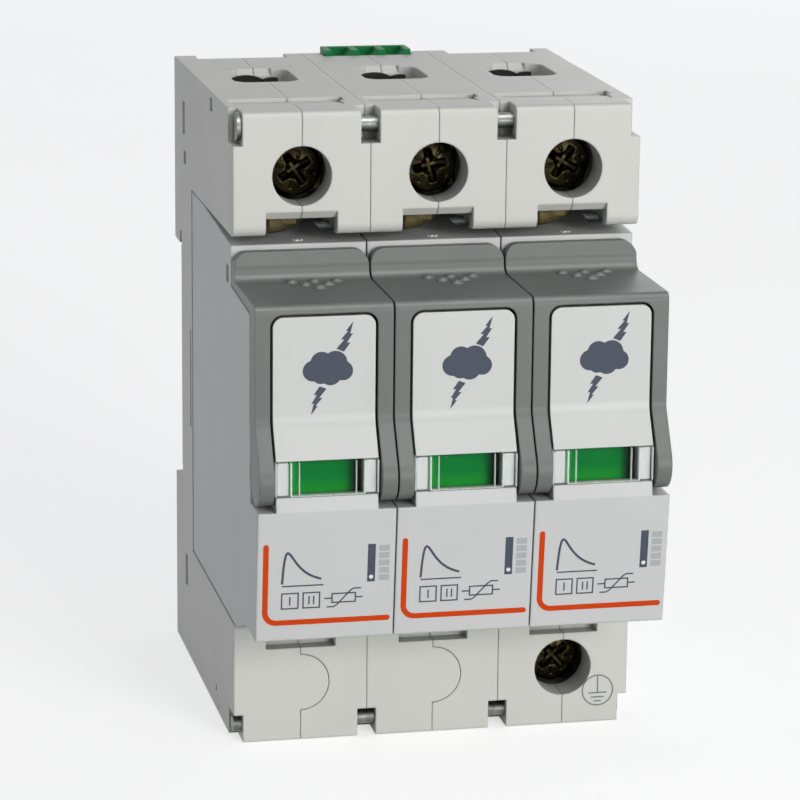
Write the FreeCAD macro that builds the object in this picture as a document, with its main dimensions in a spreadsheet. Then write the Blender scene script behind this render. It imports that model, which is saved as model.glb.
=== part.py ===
"""Three-pole surge protective device with plug-in cartridges, for a 35 mm rail.

Frame: X runs across the poles, -Y points to the user, +Z is up.  The origin lies on
the plane where the housing seats on the rail, at the rail's centre line and at the
middle of the three poles.  Each pole is modelled from its own left edge and then
placed along X.  All lengths are in millimetres.
"""
import FreeCAD, Part
import os
import Sketcher

Vector = FreeCAD.Vector
POLES = (1, 2, 3)
EARTH_POLE = 3
SIGNAL_POLE = 2
LATCH_POLES = (1, 3)
SPRING_FOLDS = 6
HALF_DIAGONAL = 0.7072        # of a square, over its side
HEEL = (0.85, 0.52)           # unit direction from the pivot to where the leg's back meets the disc
TOE = (-0.87, 0.49)           # and to where its front does
NEAR = 0.02                   # how close an edge lies to where it is looked for
NOTHING = 1e-6                # a change of volume that counts as none

SIZES = {
    # rail and housing
    "pitch": 17.8,            # width of one pole
    "pole_gap": 0.06,         # between neighbouring poles
    "seam": 0.06,             # between the two half shells of a pole
    "rail_height": 35.0,
    "rail_sheet": 1.0,
    "rail_fit": 0.2,
    "hook_grip": 1.6,         # overlap of hook and latch behind the rail's edges
    "latch_room": 0.7,
    "face_depth": 44.0,       # rail plane to terminal faces
    "rear_depth": 5.7,        # rail plane to the back of the hooks
    "rise": 41.4,             # rail centre to top
    "drop": 42.3,             # rail centre to bottom
    "head_height": 16.1,      # block that holds the upper terminals
    "foot_height": 16.2,      # block that holds the lower terminals
    "rear_wall": 2.2,         # rail plane to the room behind the contacts
    "seat_relief": 0.3,       # corner relief of the rail seat beside the hook and the latch
    "head_lip_radius": 1.4,
    "edge_radius": 0.9,
    # recess between the rear ears
    "ear_left": 2.9,
    "ear_right": 2.4,
    "recess_wall": 2.5,
    "recess_height": 14.0,
    # terminals
    "front_wall": 4.6,
    "line_axis_drop": 8.3,    # top to the line screw's axis
    "earth_axis_rise": 7.84,  # bottom to the earth screw's axis
    "access_radius": 3.87,
    "screw_head_radius": 3.6,
    "screw_head_height": 1.6,
    "screw_inset": 0.3,       # screw head behind the front wall
    "screw_shank_radius": 2.4,
    "slot_width": 1.1,
    "slot_depth": 0.9,
    "thread_fit": 0.05,
    "cage_width": 10.4,
    "cage_height": 8.8,
    "cage_side": 1.0,
    "cage_nut": 3.0,
    "cage_back": 1.5,
    "cage_fit": 0.3,
    "wire_room": 12.0,        # opening behind the clamping bar
    "nut_room": 4.7,          # opening before the clamping bar
    "bar_thickness": 1.6,
    "strip_thickness": 1.1,
    "strip_width": 5.6,
    "strip_gap": 0.4,
    "entry_width": 8.8,
    "entry_length": 11.3,
    "entry_corner": 2.1,
    "scoop_length": 1.0,
    "scoop_depth": 1.0,
    # contacts
    "leaf_thickness": 0.6,
    "leaf_length": 3.6,
    "blade_thickness": 1.0,
    "blade_fit": 0.05,
    "blade_height": 6.0,
    "blade_centre": 13.0,     # rail centre to the middle of a blade
    "contact_width": 6.4,
    "bay_wall": 1.0,
    "bus_height": 6.0,
    # corner notches and tie rods
    "notch_width": 1.25,
    "notch_height": 4.3,
    "notch_depth": 4.1,
    "low_notch_height": 3.7,
    "rod_radius": 1.0,
    "rod_fit": 0.05,
    "rod_inset": 2.2,
    "rod_drop": 2.1,
    "low_rod_inset": 1.7,
    "rivet_radius": 1.8,      # head of the upper rod, in the left corner notch
    "rivet_length": 0.6,
    # window notches beside the cartridge
    "window_width": 9.3,
    "head_window_height": 3.2,
    "window_bevel": 1.05,     # of the head window's upper edge
    "tongue_inset": 1.9,      # terminal faces to the contact's tongue
    "tongue_drop": 0.6,       # how far its bent tip reaches below it
    "foot_window_height": 3.6,
    "head_window_depth": 14.0,
    "foot_window_depth": 2.0,
    # marker recess on the top
    "marker_left": 1.1,
    "marker_start": 5.0,
    "marker_length": 6.0,
    "marker_depth": 0.5,
    "marker_slot": 1.1,       # width and depth of the slot at the recess's right end
    "marker_slot_length": 2.6,
    # blanking tab of an unused terminal
    "tab_radius": 3.8,
    "tab_gap": 0.08,
    # rail latch
    "latch_width": 11.5,
    "latch_sheet": 1.5,
    "latch_neck": 8.7,
    "latch_fit": 0.2,
    "latch_depth": 4.0,
    "latch_cover": 0.3,
    "latch_tail": 0.6,
    "spring_width": 1.6,
    "spring_height": 9.0,
    "spring_inset": 6.6,      # the rail's lower edge to the top of the spring
    "spring_sheet": 0.4,
    "spring_swing": 1.4,
    "pocket_width": 4.0,
    "pocket_height": 12.0,
    "peg_height": 1.0,
    "peg_width": 3.0,
    # cartridge
    "cart_side": 0.1,         # side clearance of a cartridge in its pitch
    "cart_fit": 0.3,
    "cover_thickness": 2.0,
    "droop": 1.1,             # fall of the cartridge's top towards the front
    "droop_start": 24.0,      # terminal faces to where the fall begins
    "nose_reach": 18.15,
    "nose_step": 1.9,         # lens to the nose below it
    "nose_lean": 1.85,
    "nose_lift": 2.5,         # the cartridge's bottom to the foot of its nose
    "nose_tuck": 9.0,
    "nose_root": 1.4,
    "cavity_width": 10.6,
    "drum_wall": 2.4,         # between the cavity and the drum's room
    "varistor_fit": 0.3,
    "varistor_bevel": 1.5,
    # handle
    "leg_width": 2.05,
    "handle_side": 0.12,
    "pivot_reach": 15.65,      # terminal faces to the handle's pivot
    "pivot_drop": 2.2,
    "disc_radius": 3.4,
    "disc_gap": 0.3,
    "stub_radius": 1.2,
    "stub_length": 1.05,
    "stub_fit": 0.05,
    "band_top": 23.3,
    "band_crease": 21.7,
    "band_lean": 0.7,
    "band_depth": 2.0,
    "band_corner": 1.9,
    "shelf_top": 19.7,
    "shelf_bottom": 18.6,
    "brow_fall": 0.3,        # the brow's underside falls this much to the front, and rises as much behind
    "brow_reach": 15.5,
    "brow_radius": 1.0,
    "shelf_radius": 1.5,
    "leg_depth": 3.3,
    "waist_rise": 4.9,
    "waist_reach": 15.5,
    "waist_radius": 2.5,
    "waist_skew": 0.8,        # the leg's back bends this much lower than its front
    # label panel, lens and status drum
    "panel_gap": 0.35,
    "panel_thickness": 0.9,
    "panel_corner": 1.3,
    "lens_top": 0.35,
    "lens_height": 4.55,
    "lens_thickness": 1.0,
    "lens_inset": 0.3,
    "lens_gap": 0.05,
    "drum_width": 9.2,
    "drum_side": 5.2,
    "drum_inset": 3.9,
    "drum_axle_radius": 0.8,
    "drum_axle_length": 0.5,
    "drum_fit": 0.22,
    # signalling connector
    "plug_fit": 0.2,
    "plug_depth": 4.2,
    "plug_rise": 0.75,
    "plug_poles": 3,
    "plug_pitch": 3.81,
    "well_radius": 1.5,
    "socket_height": 4.1,
    "socket_depth": 2.9,
    "pin_side": 0.8,
    "pin_length": 4.0,
    # moulded marks on the left flank
    "mark_depth": 0.5,
    "mark_width": 1.9,
    "mark_height": 4.6,
    "short_mark": 1.8,        # height of the short marks
    "mark_shift": 0.9,        # a short mark lies this much further to the front than the tall one
    "mark_inset": 3.6,        # rail plane to the tall marks
    "mark_drop": 9.6,         # top or bottom to the tall marks
    "mark_step": 4.0,         # tall mark to the short mark below it
    "mark_reach": 16.6,       # terminal faces to the mark at the top edge
    "mark_rim": 2.6,
    "slit_width": 0.9,
    "slit_length": 13.8,
    "slit_drop": 8.5,         # rail centre to the foot of the slit beside the bay
    "dimple_reach": 14.5,
    "dimple_rise": 2.9,
    "dimple_radius": 0.45,
    "grip_mark": 4.1,         # cartridge's top and front to the mark on its side
}

doc = FreeCAD.newDocument("SurgeProtectiveDevice")
sheet = doc.addObject("Spreadsheet::Sheet", "dims")
for row, (alias, number) in enumerate(SIZES.items(), 1):
    sheet.set("A%d" % row, alias)
    sheet.set("B%d" % row, str(number))
    sheet.setAlias("B%d" % row, alias)
doc.recompute()


class Size:
    """A length that carries both its number and the sheet formula behind it."""

    def __init__(self, value, formula=None):
        self.value = float(value)
        self.formula = formula or repr(self.value)

    def _join(self, other, sign, value):
        return Size(value, "(%s %s %s)" % (self.formula, sign, size(other).formula))

    def __add__(self, other):
        return self._join(other, "+", self.value + size(other).value)

    def __sub__(self, other):
        return self._join(other, "-", self.value - size(other).value)

    def __mul__(self, other):
        return self._join(other, "*", self.value * size(other).value)

    def __truediv__(self, other):
        return self._join(other, "/", self.value / size(other).value)

    def __radd__(self, other):
        return size(other) + self

    def __rsub__(self, other):
        return size(other) - self

    def __rmul__(self, other):
        return size(other) * self

    def __neg__(self):
        return 0 - self


def size(thing):
    """A Size from a Size or from a plain number."""
    return thing if isinstance(thing, Size) else Size(thing)


class Sheet:
    """The spreadsheet's cells as Sizes, read by their alias."""

    def __getattr__(self, alias):
        return Size(sheet.get(alias), "dims." + alias)


d = Sheet()


def bind(thing, **places):
    """Bind properties to Sizes; two underscores in a name stand for a dot."""
    for name, length in places.items():
        thing.setExpression(name.replace("__", "."), size(length).formula)


# Helpers for bodies, sketches and their features

def new_body(label, x=0):
    """A body named after its node, placed along X."""
    body = doc.addObject("PartDesign::Body", label)
    body.Label = label
    bind(body, Placement__Base__x=x)
    return body


def new_sketch(body, plane, offset):
    """An empty sketch on one of the body's origin planes, moved along its normal."""
    sketch = body.newObject("Sketcher::SketchObject", body.Label + "_sketch")
    support = next(f for f in body.Origin.OriginFeatures if f.Role == plane)
    sketch.AttachmentSupport = [(support, "")]
    sketch.MapMode = "FlatFace"
    bind(sketch, AttachmentOffset__Base__z=offset)
    return sketch


def pin_point(sketch, line, end, u, v):
    """Hold one point of a sketch at two Sizes."""
    for kind, length in (("DistanceX", u), ("DistanceY", v)):
        index = sketch.addConstraint(Sketcher.Constraint(kind, line, end, size(length).value))
        sketch.setExpression("Constraints[%d]" % index, size(length).formula)


def draw_outline(sketch, corners):
    """A closed outline of straight lines through the given corners."""
    points = [Vector(size(u).value, size(v).value, 0) for u, v in corners]
    ends = zip(points, points[1:] + points[:1])
    lines = [sketch.addGeometry(Part.LineSegment(a, b), False) for a, b in ends]
    for line, following in zip(lines, lines[1:] + lines[:1]):
        sketch.addConstraint(Sketcher.Constraint("Coincident", line, 2, following, 1))
    for line, (u, v) in zip(lines, corners):
        pin_point(sketch, line, 1, u, v)


def draw_circle(sketch, u, v, radius):
    """One circle in a sketch."""
    centre = Vector(size(u).value, size(v).value, 0)
    line = sketch.addGeometry(Part.Circle(centre, Vector(0, 0, 1), size(radius).value), False)
    pin_point(sketch, line, 3, u, v)
    index = sketch.addConstraint(Sketcher.Constraint("Radius", line, size(radius).value))
    sketch.setExpression("Constraints[%d]" % index, size(radius).formula)


def extrude(body, sketch, length, cut, backwards):
    """Pad or pocket a sketch, and check that it changed the solid as it should."""
    before = body.Shape.Volume if body.Tip else 0.0
    kind = "PartDesign::Pocket" if cut else "PartDesign::Pad"
    feature = body.newObject(kind, body.Label + ("_pocket" if cut else "_pad"))
    feature.Profile = sketch
    feature.Reversed = backwards
    bind(feature, Length=length)
    sketch.Visibility = False
    doc.recompute()
    change = feature.Shape.Volume - before
    if (change > -NOTHING) if cut else (change < NOTHING):
        raise ValueError("%s does nothing" % feature.Name)
    return feature


def side_shape(body, x, outlines=(), circles=(), cut=False):
    """Extrude side outlines of (Y, Z) corners and (Y, Z, radius) circles from one X to another."""
    sketch = new_sketch(body, "YZ_Plane", x[0])
    for corners in outlines:
        draw_outline(sketch, corners)
    for y, z, radius in circles:
        draw_circle(sketch, y, z, radius)
    return extrude(body, sketch, size(x[1]) - x[0], cut, cut)


def rectangle(y, z):
    """Side outline of a rectangle between two Sizes on each axis."""
    return [(y[0], z[0]), (y[1], z[0]), (y[1], z[1]), (y[0], z[1])]


def side_round(body, y, z, radius, x, cut=False):
    """A round boss or hole along X."""
    return side_shape(body, x, circles=[(y, z, radius)], cut=cut)


def front_round(body, x, z, radius, y, cut=False):
    """A round boss or hole along Y, from the front to the back."""
    sketch = new_sketch(body, "XZ_Plane", -size(y[0]))
    draw_circle(sketch, x, z, radius)
    return extrude(body, sketch, size(y[1]) - y[0], cut, not cut)


def block(body, x, y, z, cut=False):
    """A rectangular block or cut between two Sizes on each axis."""
    return side_shape(body, x, [rectangle(y, z)], cut=cut)


def straight_edges(feature, axis, *places):
    """Names of the straight edges along one axis through (a, b) in the other two axes."""
    names = []
    for number, edge in enumerate(feature.Shape.Edges, 1):
        if edge.Curve.TypeId != "Part::GeomLine":
            continue
        run = edge.Vertexes[-1].Point - edge.Vertexes[0].Point
        if abs(run[axis]) < run.Length - NEAR:
            continue
        middle = edge.CenterOfMass
        spot = [middle[k] for k in range(3) if k != axis]
        for a, b in places:
            if abs(spot[0] - size(a).value) < NEAR and abs(spot[1] - size(b).value) < NEAR:
                names.append("Edge%d" % number)
    if not names:
        raise ValueError("no edge found on " + feature.Name)
    return names


def round_edges(body, feature, names, radius):
    """Fillet the named edges."""
    fillet = body.newObject("PartDesign::Fillet", body.Label + "_fillet")
    fillet.Base = (feature, names)
    bind(fillet, Radius=radius)
    doc.recompute()
    return fillet


def bevel_edges(body, feature, names, length):
    """Chamfer the named edges."""
    chamfer = body.newObject("PartDesign::Chamfer", body.Label + "_chamfer")
    chamfer.Base = (feature, names)
    bind(chamfer, Size=length)
    doc.recompute()
    return chamfer


# Places that several pieces share

front = -d.face_depth
top = d.rise
bottom = -d.drop
middle = d.pitch / 2
bay_top = d.rise - d.head_height
bay_bottom = d.foot_height - d.drop
contact_room_back = -d.rear_wall
contact_back = contact_room_back - d.strip_thickness
contact_front = contact_back - d.strip_thickness
leaf_front = contact_front - d.leaf_length
bay_back = leaf_front - d.cart_fit - d.bay_wall
line_axis = d.rise - d.line_axis_drop
earth_axis = d.earth_axis_rise - d.drop
wall_back = front + d.front_wall
screw_face = wall_back + d.screw_inset
entry_back = leaf_front
entry_front = entry_back - d.entry_length
bar_back = entry_back - d.wire_room
bar_front = bar_back - d.bar_thickness
cage_front = bar_front - d.nut_room - d.cage_nut
cage_rear = entry_back + d.cage_back
cage_top = line_axis + d.cage_height / 2
cage_bottom = line_axis - d.cage_height / 2
earth_cage_top = earth_axis + d.cage_height / 2
earth_cage_bottom = earth_axis - d.cage_height / 2
strip_top = cage_bottom - d.strip_gap
strip_bottom = strip_top - d.strip_thickness
earth_strip_bottom = earth_cage_top + d.strip_gap
earth_strip_top = earth_strip_bottom + d.strip_thickness
bus_bottom = bay_bottom
bus_top = bus_bottom + d.bus_height
rail_edge = d.rail_height / 2
hook_tip = rail_edge - d.hook_grip
spring_top = -(rail_edge + d.spring_inset)
peg_top = spring_top - d.spring_height
cart_back = bay_back - d.cart_fit
cover_front = cart_back - d.cover_thickness
cart_top = bay_top - d.cart_fit
cart_bottom = bay_bottom + d.cart_fit
window_left = middle - d.window_width / 2
window_right = middle + d.window_width / 2
recess_right = d.pitch - d.ear_right
rod_y = front + d.rod_inset
rod_z = top - d.rod_drop
low_rod_y = front + d.low_rod_inset
low_rod_z = bottom + d.rod_drop
pivot_y = front - d.pivot_reach
pivot_z = -d.pivot_drop
heel_y = pivot_y + d.disc_radius * HEEL[0]
heel_z = pivot_z + d.disc_radius * HEEL[1]
lens_front = front - d.nose_reach + d.lens_inset
lens_back = lens_front + d.lens_thickness
lens_bottom = d.lens_top - d.lens_height
panel_left = d.leg_width + d.panel_gap
panel_right = d.pitch - panel_left
panel_top = d.shelf_bottom - d.panel_gap
panel_bottom = d.lens_top + 2 * d.lens_gap
drum_y = lens_back + d.drum_inset
drum_z = d.lens_top - d.lens_height / 2
drum_sweep = d.drum_side * HALF_DIAGONAL + d.drum_fit
nose_y = front - d.nose_reach
nose_shoulder = lens_bottom - d.nose_step
nose_foot = cart_bottom + d.nose_lift
cavity_front = drum_y + drum_sweep + d.drum_wall
cavity_reach = d.blade_centre + d.blade_height / 2 + d.cart_fit


def pole_left(pole):
    """X of a pole's left edge."""
    return d.pitch * (pole - 1 - len(POLES) / 2)


# Housing of one pole, as two half shells

def housing_outline():
    """Side outline of the housing: head, hook, rail seat, foot and cartridge bay."""
    hook_y = d.rail_sheet + d.rail_fit
    seat_top = rail_edge + d.rail_fit
    seat_bottom = -(rail_edge + d.latch_room)
    pad = hook_tip - d.rail_fit
    return [
        (front, top), (d.rear_depth, top), (d.rear_depth, hook_tip), (hook_y, hook_tip), (hook_y, seat_top),
        (-d.seat_relief, seat_top), (-d.seat_relief, pad), (0, pad), (0, -pad), (-d.seat_relief, -pad),
        (-d.seat_relief, seat_bottom), (d.rear_depth, seat_bottom), (d.rear_depth, bottom), (front, bottom),
        (front, bay_bottom), (bay_back, bay_bottom), (bay_back, bay_top), (front, bay_top),
    ]


def cut_terminals(body, terminals):
    """Chambers for the cages, each with a screwdriver hole through the front wall."""
    half = d.cage_width / 2 + d.cage_fit
    depth = (wall_back, cage_rear + d.cage_fit)
    rooms = [rectangle(depth, (low, high)) for axis, low, high in terminals]
    side_shape(body, (middle - half, middle + half), rooms, cut=True)
    for axis, low, high in terminals:
        front_round(body, middle, axis, d.access_radius, (front, wall_back), True)


def cut_entry(body, inner, outer, upward):
    """Wire entry from the outer face into the chamber, with a flared mouth and a scoop behind it."""
    left = middle - d.entry_width / 2
    right = middle + d.entry_width / 2
    z = (inner, outer) if upward else (outer, inner)
    hole = block(body, (left, right), (entry_front, entry_back), z, True)
    corners = [(x, y) for x in (left, right) for y in (entry_front, entry_back)]
    hole = round_edges(body, hole, straight_edges(hole, 2, *corners), d.entry_corner)
    inset = d.entry_width - 2 * d.entry_corner
    drop = d.scoop_depth if upward else -d.scoop_depth
    scoop = [(entry_back - d.entry_corner, outer), (entry_back - d.entry_corner, outer - drop),
             (entry_back, outer - drop), (entry_back + d.scoop_length, outer)]
    side_shape(body, (middle - inset / 2, middle + inset / 2), [scoop], cut=True)


def cut_contacts(body, rooms):
    """Rooms for the contacts behind the bay, with the slots that the blades enter."""
    half = d.contact_width / 2
    depth = (bay_back + d.bay_wall, contact_room_back)
    side_shape(body, (middle - half, middle + half), [rectangle(depth, z) for z in rooms], cut=True)
    slot = d.blade_thickness / 2 + d.cart_fit
    reach = d.blade_height / 2 + d.cart_fit
    depth = (bay_back, bay_back + d.bay_wall)
    slots = [rectangle(depth, (z - reach, z + reach)) for z in (d.blade_centre, -d.blade_centre)]
    side_shape(body, (middle - slot, middle + slot), slots, cut=True)


def cut_latch_way(body):
    """T-shaped way for the rail latch, with the peg that its spring stands on."""
    wide = d.latch_width / 2 + d.latch_fit
    neck = d.latch_neck / 2 + d.latch_fit
    floor_y = d.rail_sheet + d.latch_cover
    lip_y = floor_y + d.latch_sheet + 2 * d.latch_fit
    height = (bottom, -(rail_edge + d.latch_room))
    block(body, (middle - wide, middle + wide), (floor_y, lip_y), height, True)
    block(body, (middle - neck, middle + neck), (lip_y, d.rear_depth), height, True)
    peg = (middle - d.peg_width / 2, middle + d.peg_width / 2)
    block(body, peg, (floor_y, lip_y), (peg_top - d.peg_height, peg_top))


def cut_side_marks(body):
    """Small moulded recesses on the left flank: (Y, Z) of their low corner, width and height."""
    left = d.pole_gap / 2
    wide = d.mark_width
    tall_y = -d.mark_inset
    short_y = tall_y - d.mark_shift
    marks = [
        (tall_y, top - d.mark_drop, wide, d.mark_height),
        (short_y, top - d.mark_drop - d.mark_step, wide, d.short_mark),
        (front + d.mark_reach, top - d.mark_rim, wide, d.short_mark),
        (short_y, bottom + d.mark_drop, wide, d.mark_height),
        (bay_back + d.slit_width, -d.slit_drop, d.slit_width, d.slit_length),
    ]
    outlines = [rectangle((y, y + across), (z, z + up)) for y, z, across, up in marks]
    dimple = (front + d.dimple_reach, bottom + d.dimple_rise, d.dimple_radius)
    side_shape(body, (left, left + d.mark_depth), outlines, [dimple], True)


def build_housing(pole):
    """One pole's housing, cut along its middle into a left and a right half shell."""
    name = "pole_%d" % pole
    body = new_body(name + "_housing", pole_left(pole))
    sides = (d.pole_gap / 2, d.pitch - d.pole_gap / 2)
    solid = side_shape(body, sides, [housing_outline()])
    solid = round_edges(body, solid, straight_edges(solid, 0, (front, bay_top)), d.head_lip_radius)
    edges = straight_edges(solid, 0, (front, top), (front, bay_bottom))
    round_edges(body, solid, edges, d.edge_radius)

    ramp_start = front + d.marker_start
    ramp_end = ramp_start + d.marker_length
    ramp = [(ramp_start, top), (ramp_end, top - d.marker_depth), (ramp_end, top)]
    side_shape(body, (d.marker_left, recess_right), [ramp], cut=True)
    slot = (recess_right - d.marker_depth, recess_right - d.marker_depth + d.marker_slot)
    block(body, slot, (ramp_end - d.marker_slot_length, ramp_end), (top - d.marker_slot, top), True)
    recess_z = (top - d.recess_height, top)
    block(body, (d.ear_left, recess_right), (d.recess_wall, d.rear_depth), recess_z, True)
    cut_inside(body, pole, sides)

    window = (window_left, window_right)
    head_z = (bay_top, bay_top + d.head_window_height)
    foot_z = (bay_bottom - d.foot_window_height, bay_bottom)
    ceiling = head_z[1] - d.window_bevel
    window_back = front + d.head_window_depth
    head_window = [(front, bay_top), (window_back, bay_top), (window_back, ceiling),
                   (front + d.window_bevel, ceiling), (front, head_z[1])]
    foot_window = rectangle((front, front + d.foot_window_depth), foot_z)
    side_shape(body, window, [head_window, foot_window], cut=True)
    channel = (front + d.tongue_inset - d.cart_fit, wall_back)
    block(body, (window_left, middle), channel, (ceiling, head_z[1]), True)
    notch_y = (front, front + d.notch_depth)
    notches = [rectangle(notch_y, (top - d.notch_height, top)),
               rectangle(notch_y, (bottom, bottom + d.low_notch_height))]
    for x in ((sides[0], d.notch_width), (d.pitch - d.notch_width, sides[1])):
        side_shape(body, x, notches, cut=True)
    hole = d.rod_radius + d.rod_fit
    side_shape(body, sides, circles=[(rod_y, rod_z, hole), (low_rod_y, low_rod_z, hole)], cut=True)
    if pole in LATCH_POLES:
        cut_latch_way(body)
    cut_side_marks(body)
    return split_housing(name, body, pole)


def cut_inside(body, pole, sides):
    """Everything that the terminals, contacts and the earth bar need inside one pole."""
    chamber_top = cage_top + d.cage_fit
    chamber_low = earth_cage_bottom - d.cage_fit
    clear = d.blade_height / 2 + 2 * d.cart_fit
    rooms = [(d.blade_centre - clear, strip_top + d.cart_fit),
             (bus_bottom - d.cart_fit, clear - d.blade_centre)]
    terminals = [(line_axis, strip_bottom - d.cart_fit, chamber_top)]
    if pole == EARTH_POLE:
        terminals.append((earth_axis, chamber_low, earth_strip_top + d.cart_fit))
        rooms[1] = (earth_strip_bottom - d.cart_fit, clear - d.blade_centre)
    cut_terminals(body, terminals)
    cut_entry(body, chamber_top, top, True)
    if pole == EARTH_POLE:
        cut_entry(body, chamber_low, bottom, False)
    cut_contacts(body, rooms)
    way = [sides[0], sides[1]]
    if pole == POLES[0]:
        way[0] = middle - d.contact_width / 2
    if pole == POLES[-1]:
        way[1] = middle + d.contact_width / 2
    way_y = (contact_front - d.cart_fit, contact_room_back)
    block(body, way, way_y, (bus_bottom - d.cart_fit, bus_top + d.cart_fit), True)


def cutter(label, x, y, z, pole):
    """A box that takes one side of a pole."""
    box = doc.addObject("Part::Box", label)
    bind(box, Length=x[1] - x[0], Width=y[1] - y[0], Height=z[1] - z[0])
    bind(box, Placement__Base__x=pole_left(pole) + x[0], Placement__Base__y=y[0], Placement__Base__z=z[0])
    return box


def half_disc(label, pole, radius, thickness):
    """Half disc to the right of the seam, in the front wall."""
    disc = doc.addObject("Part::Cylinder", label)
    disc.Angle = 180
    bind(disc, Radius=radius, Height=thickness)
    disc.Placement.Rotation = FreeCAD.Rotation(Vector(0, 1, 0), -90) * FreeCAD.Rotation(Vector(1, 0, 0), -90)
    bind(disc, Placement__Base__x=pole_left(pole) + middle - d.seam / 2,
         Placement__Base__y=front, Placement__Base__z=earth_axis)
    return disc


def combine(kind, label, **links):
    """A boolean of two shapes."""
    result = doc.addObject(kind, label)
    result.Label = label
    for name, thing in links.items():
        setattr(result, name, thing)
    result.Refine = True
    return result


def split_housing(name, body, pole):
    """Both half shells; where no terminal is fitted, the left one closes its place with a tab."""
    y = (front, d.rear_depth)
    z = (bottom, top)
    left_box = cutter(name + "_left_side", (size(0), middle - d.seam / 2), y, z, pole)
    right_box = cutter(name + "_right_side", (middle + d.seam / 2, d.pitch), y, z, pole)
    if pole == EARTH_POLE:
        left = combine("Part::Common", name + "_left_shell", Base=body, Tool=left_box)
        right = combine("Part::Common", name + "_right_shell", Base=body, Tool=right_box)
        return [left, right]
    left_half = combine("Part::Common", name + "_left_half", Base=body, Tool=left_box)
    right_half = combine("Part::Common", name + "_right_half", Base=body, Tool=right_box)
    tab = half_disc(name + "_tab", pole, d.tab_radius, d.front_wall)
    room = half_disc(name + "_tab_room", pole, d.tab_radius + d.tab_gap, d.front_wall + d.tab_gap)
    left = combine("Part::Fuse", name + "_left_shell", Base=left_half, Tool=tab)
    right = combine("Part::Cut", name + "_right_shell", Base=right_half, Tool=room)
    return [left, right]


# Terminals and contacts

def build_screw(label, pole, axis):
    """Clamping screw with a cross-slotted head."""
    body = new_body(label, pole_left(pole))
    head_back = screw_face + d.screw_head_height
    front_round(body, middle, axis, d.screw_head_radius, (screw_face, head_back))
    front_round(body, middle, axis, d.screw_shank_radius, (head_back, bar_front - d.cage_fit))
    half = d.slot_width / 2
    slot_y = (screw_face, screw_face + d.slot_depth)
    arm = d.screw_shank_radius
    block(body, (middle - half, middle + half), slot_y, (axis - arm, axis + arm), True)
    block(body, (middle - arm, middle + arm), slot_y, (axis - half, axis + half), True)
    return body


def build_cage(label, pole, axis):
    """Box clamp: a ring around the wire and the bar, with the screw's nut in its front wall."""
    body = new_body(label, pole_left(pole))
    left = middle - d.cage_width / 2
    right = middle + d.cage_width / 2
    z = (axis - d.cage_height / 2, axis + d.cage_height / 2)
    block(body, (left, right), (cage_front, cage_rear), z)
    nut_back = cage_front + d.cage_nut
    inner = block(body, (left + d.cage_side, right - d.cage_side), (nut_back, entry_back), z, True)
    outer = straight_edges(inner, 2, (left, cage_rear), (right, cage_rear))
    bevel_edges(body, inner, outer, d.cage_side / 2)
    front_round(body, middle, axis, d.screw_shank_radius + d.thread_fit, (cage_front, nut_back), True)
    return body


def add_contact(body, x, z, reach):
    """Contact plate up or down to a conductor, with two leaves that grip a blade."""
    half = d.strip_width / 2
    block(body, (x - half, x + half), (contact_front, contact_back), reach)
    inner = d.blade_thickness / 2 + d.blade_fit
    for near, far in ((-inner - d.leaf_thickness, -inner), (inner, inner + d.leaf_thickness)):
        block(body, (x + near, x + far), (leaf_front, contact_front), z)


def build_line_contact(pole):
    """Line contact: clamping bar, strip, leaves for the blade and a tongue with a bent tip."""
    body = new_body("line_%d_contact" % pole, pole_left(pole))
    half = d.strip_width / 2
    x = (middle - half, middle + half)
    leaves = (d.blade_centre - d.blade_height / 2, d.blade_centre + d.blade_height / 2)
    block(body, x, (bar_front, contact_back), (strip_bottom, strip_top))
    block(body, x, (bar_front, bar_back), (strip_top, cage_top - d.strip_gap))
    add_contact(body, middle, leaves, (leaves[0], strip_top))
    tongue = (window_left + d.cart_fit, middle - d.strip_gap)
    tip = front + d.tongue_inset
    block(body, tongue, (tip, bar_front), (strip_bottom, strip_top))
    block(body, tongue, (tip, tip + d.strip_thickness), (strip_bottom - d.tongue_drop, strip_bottom))
    return body


def build_earth_bar():
    """Earth bar: a bus behind the three bays, with leaves for each and one clamping bar."""
    body = new_body("earth_bar")
    half = d.strip_width / 2
    first = pole_left(POLES[0]) + middle - half
    last = pole_left(POLES[-1]) + middle + half
    block(body, (first, last), (contact_front, contact_back), (bus_bottom, bus_top))
    leaves = (-(d.blade_centre + d.blade_height / 2), -(d.blade_centre - d.blade_height / 2))
    for pole in POLES:
        add_contact(body, pole_left(pole) + middle, leaves, (bus_bottom, leaves[1]))
    x = pole_left(EARTH_POLE) + middle
    block(body, (x - half, x + half), (contact_front, contact_back), (earth_strip_bottom, bus_bottom))
    block(body, (x - half, x + half), (bar_front, contact_front), (earth_strip_bottom, earth_strip_top))
    bar_z = (earth_cage_bottom + d.strip_gap, earth_strip_bottom)
    block(body, (x - half, x + half), (bar_front, bar_back), bar_z)
    return body


def build_tie_rod(label, y, z, headed):
    """Rod through all poles, flush with the right corner notch; the upper one has a riveted head."""
    body = new_body(label)
    first = pole_left(POLES[0])
    start = first + d.pole_gap
    end = pole_left(POLES[-1]) + d.pitch - d.notch_width
    if headed:
        start = first + d.notch_width - d.rivet_length
        side_round(body, y, z, d.rivet_radius, (start, start + d.rivet_length - d.rod_fit))
    side_round(body, y, z, d.rod_radius, (start, end))
    return body


# Rail latch

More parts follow.
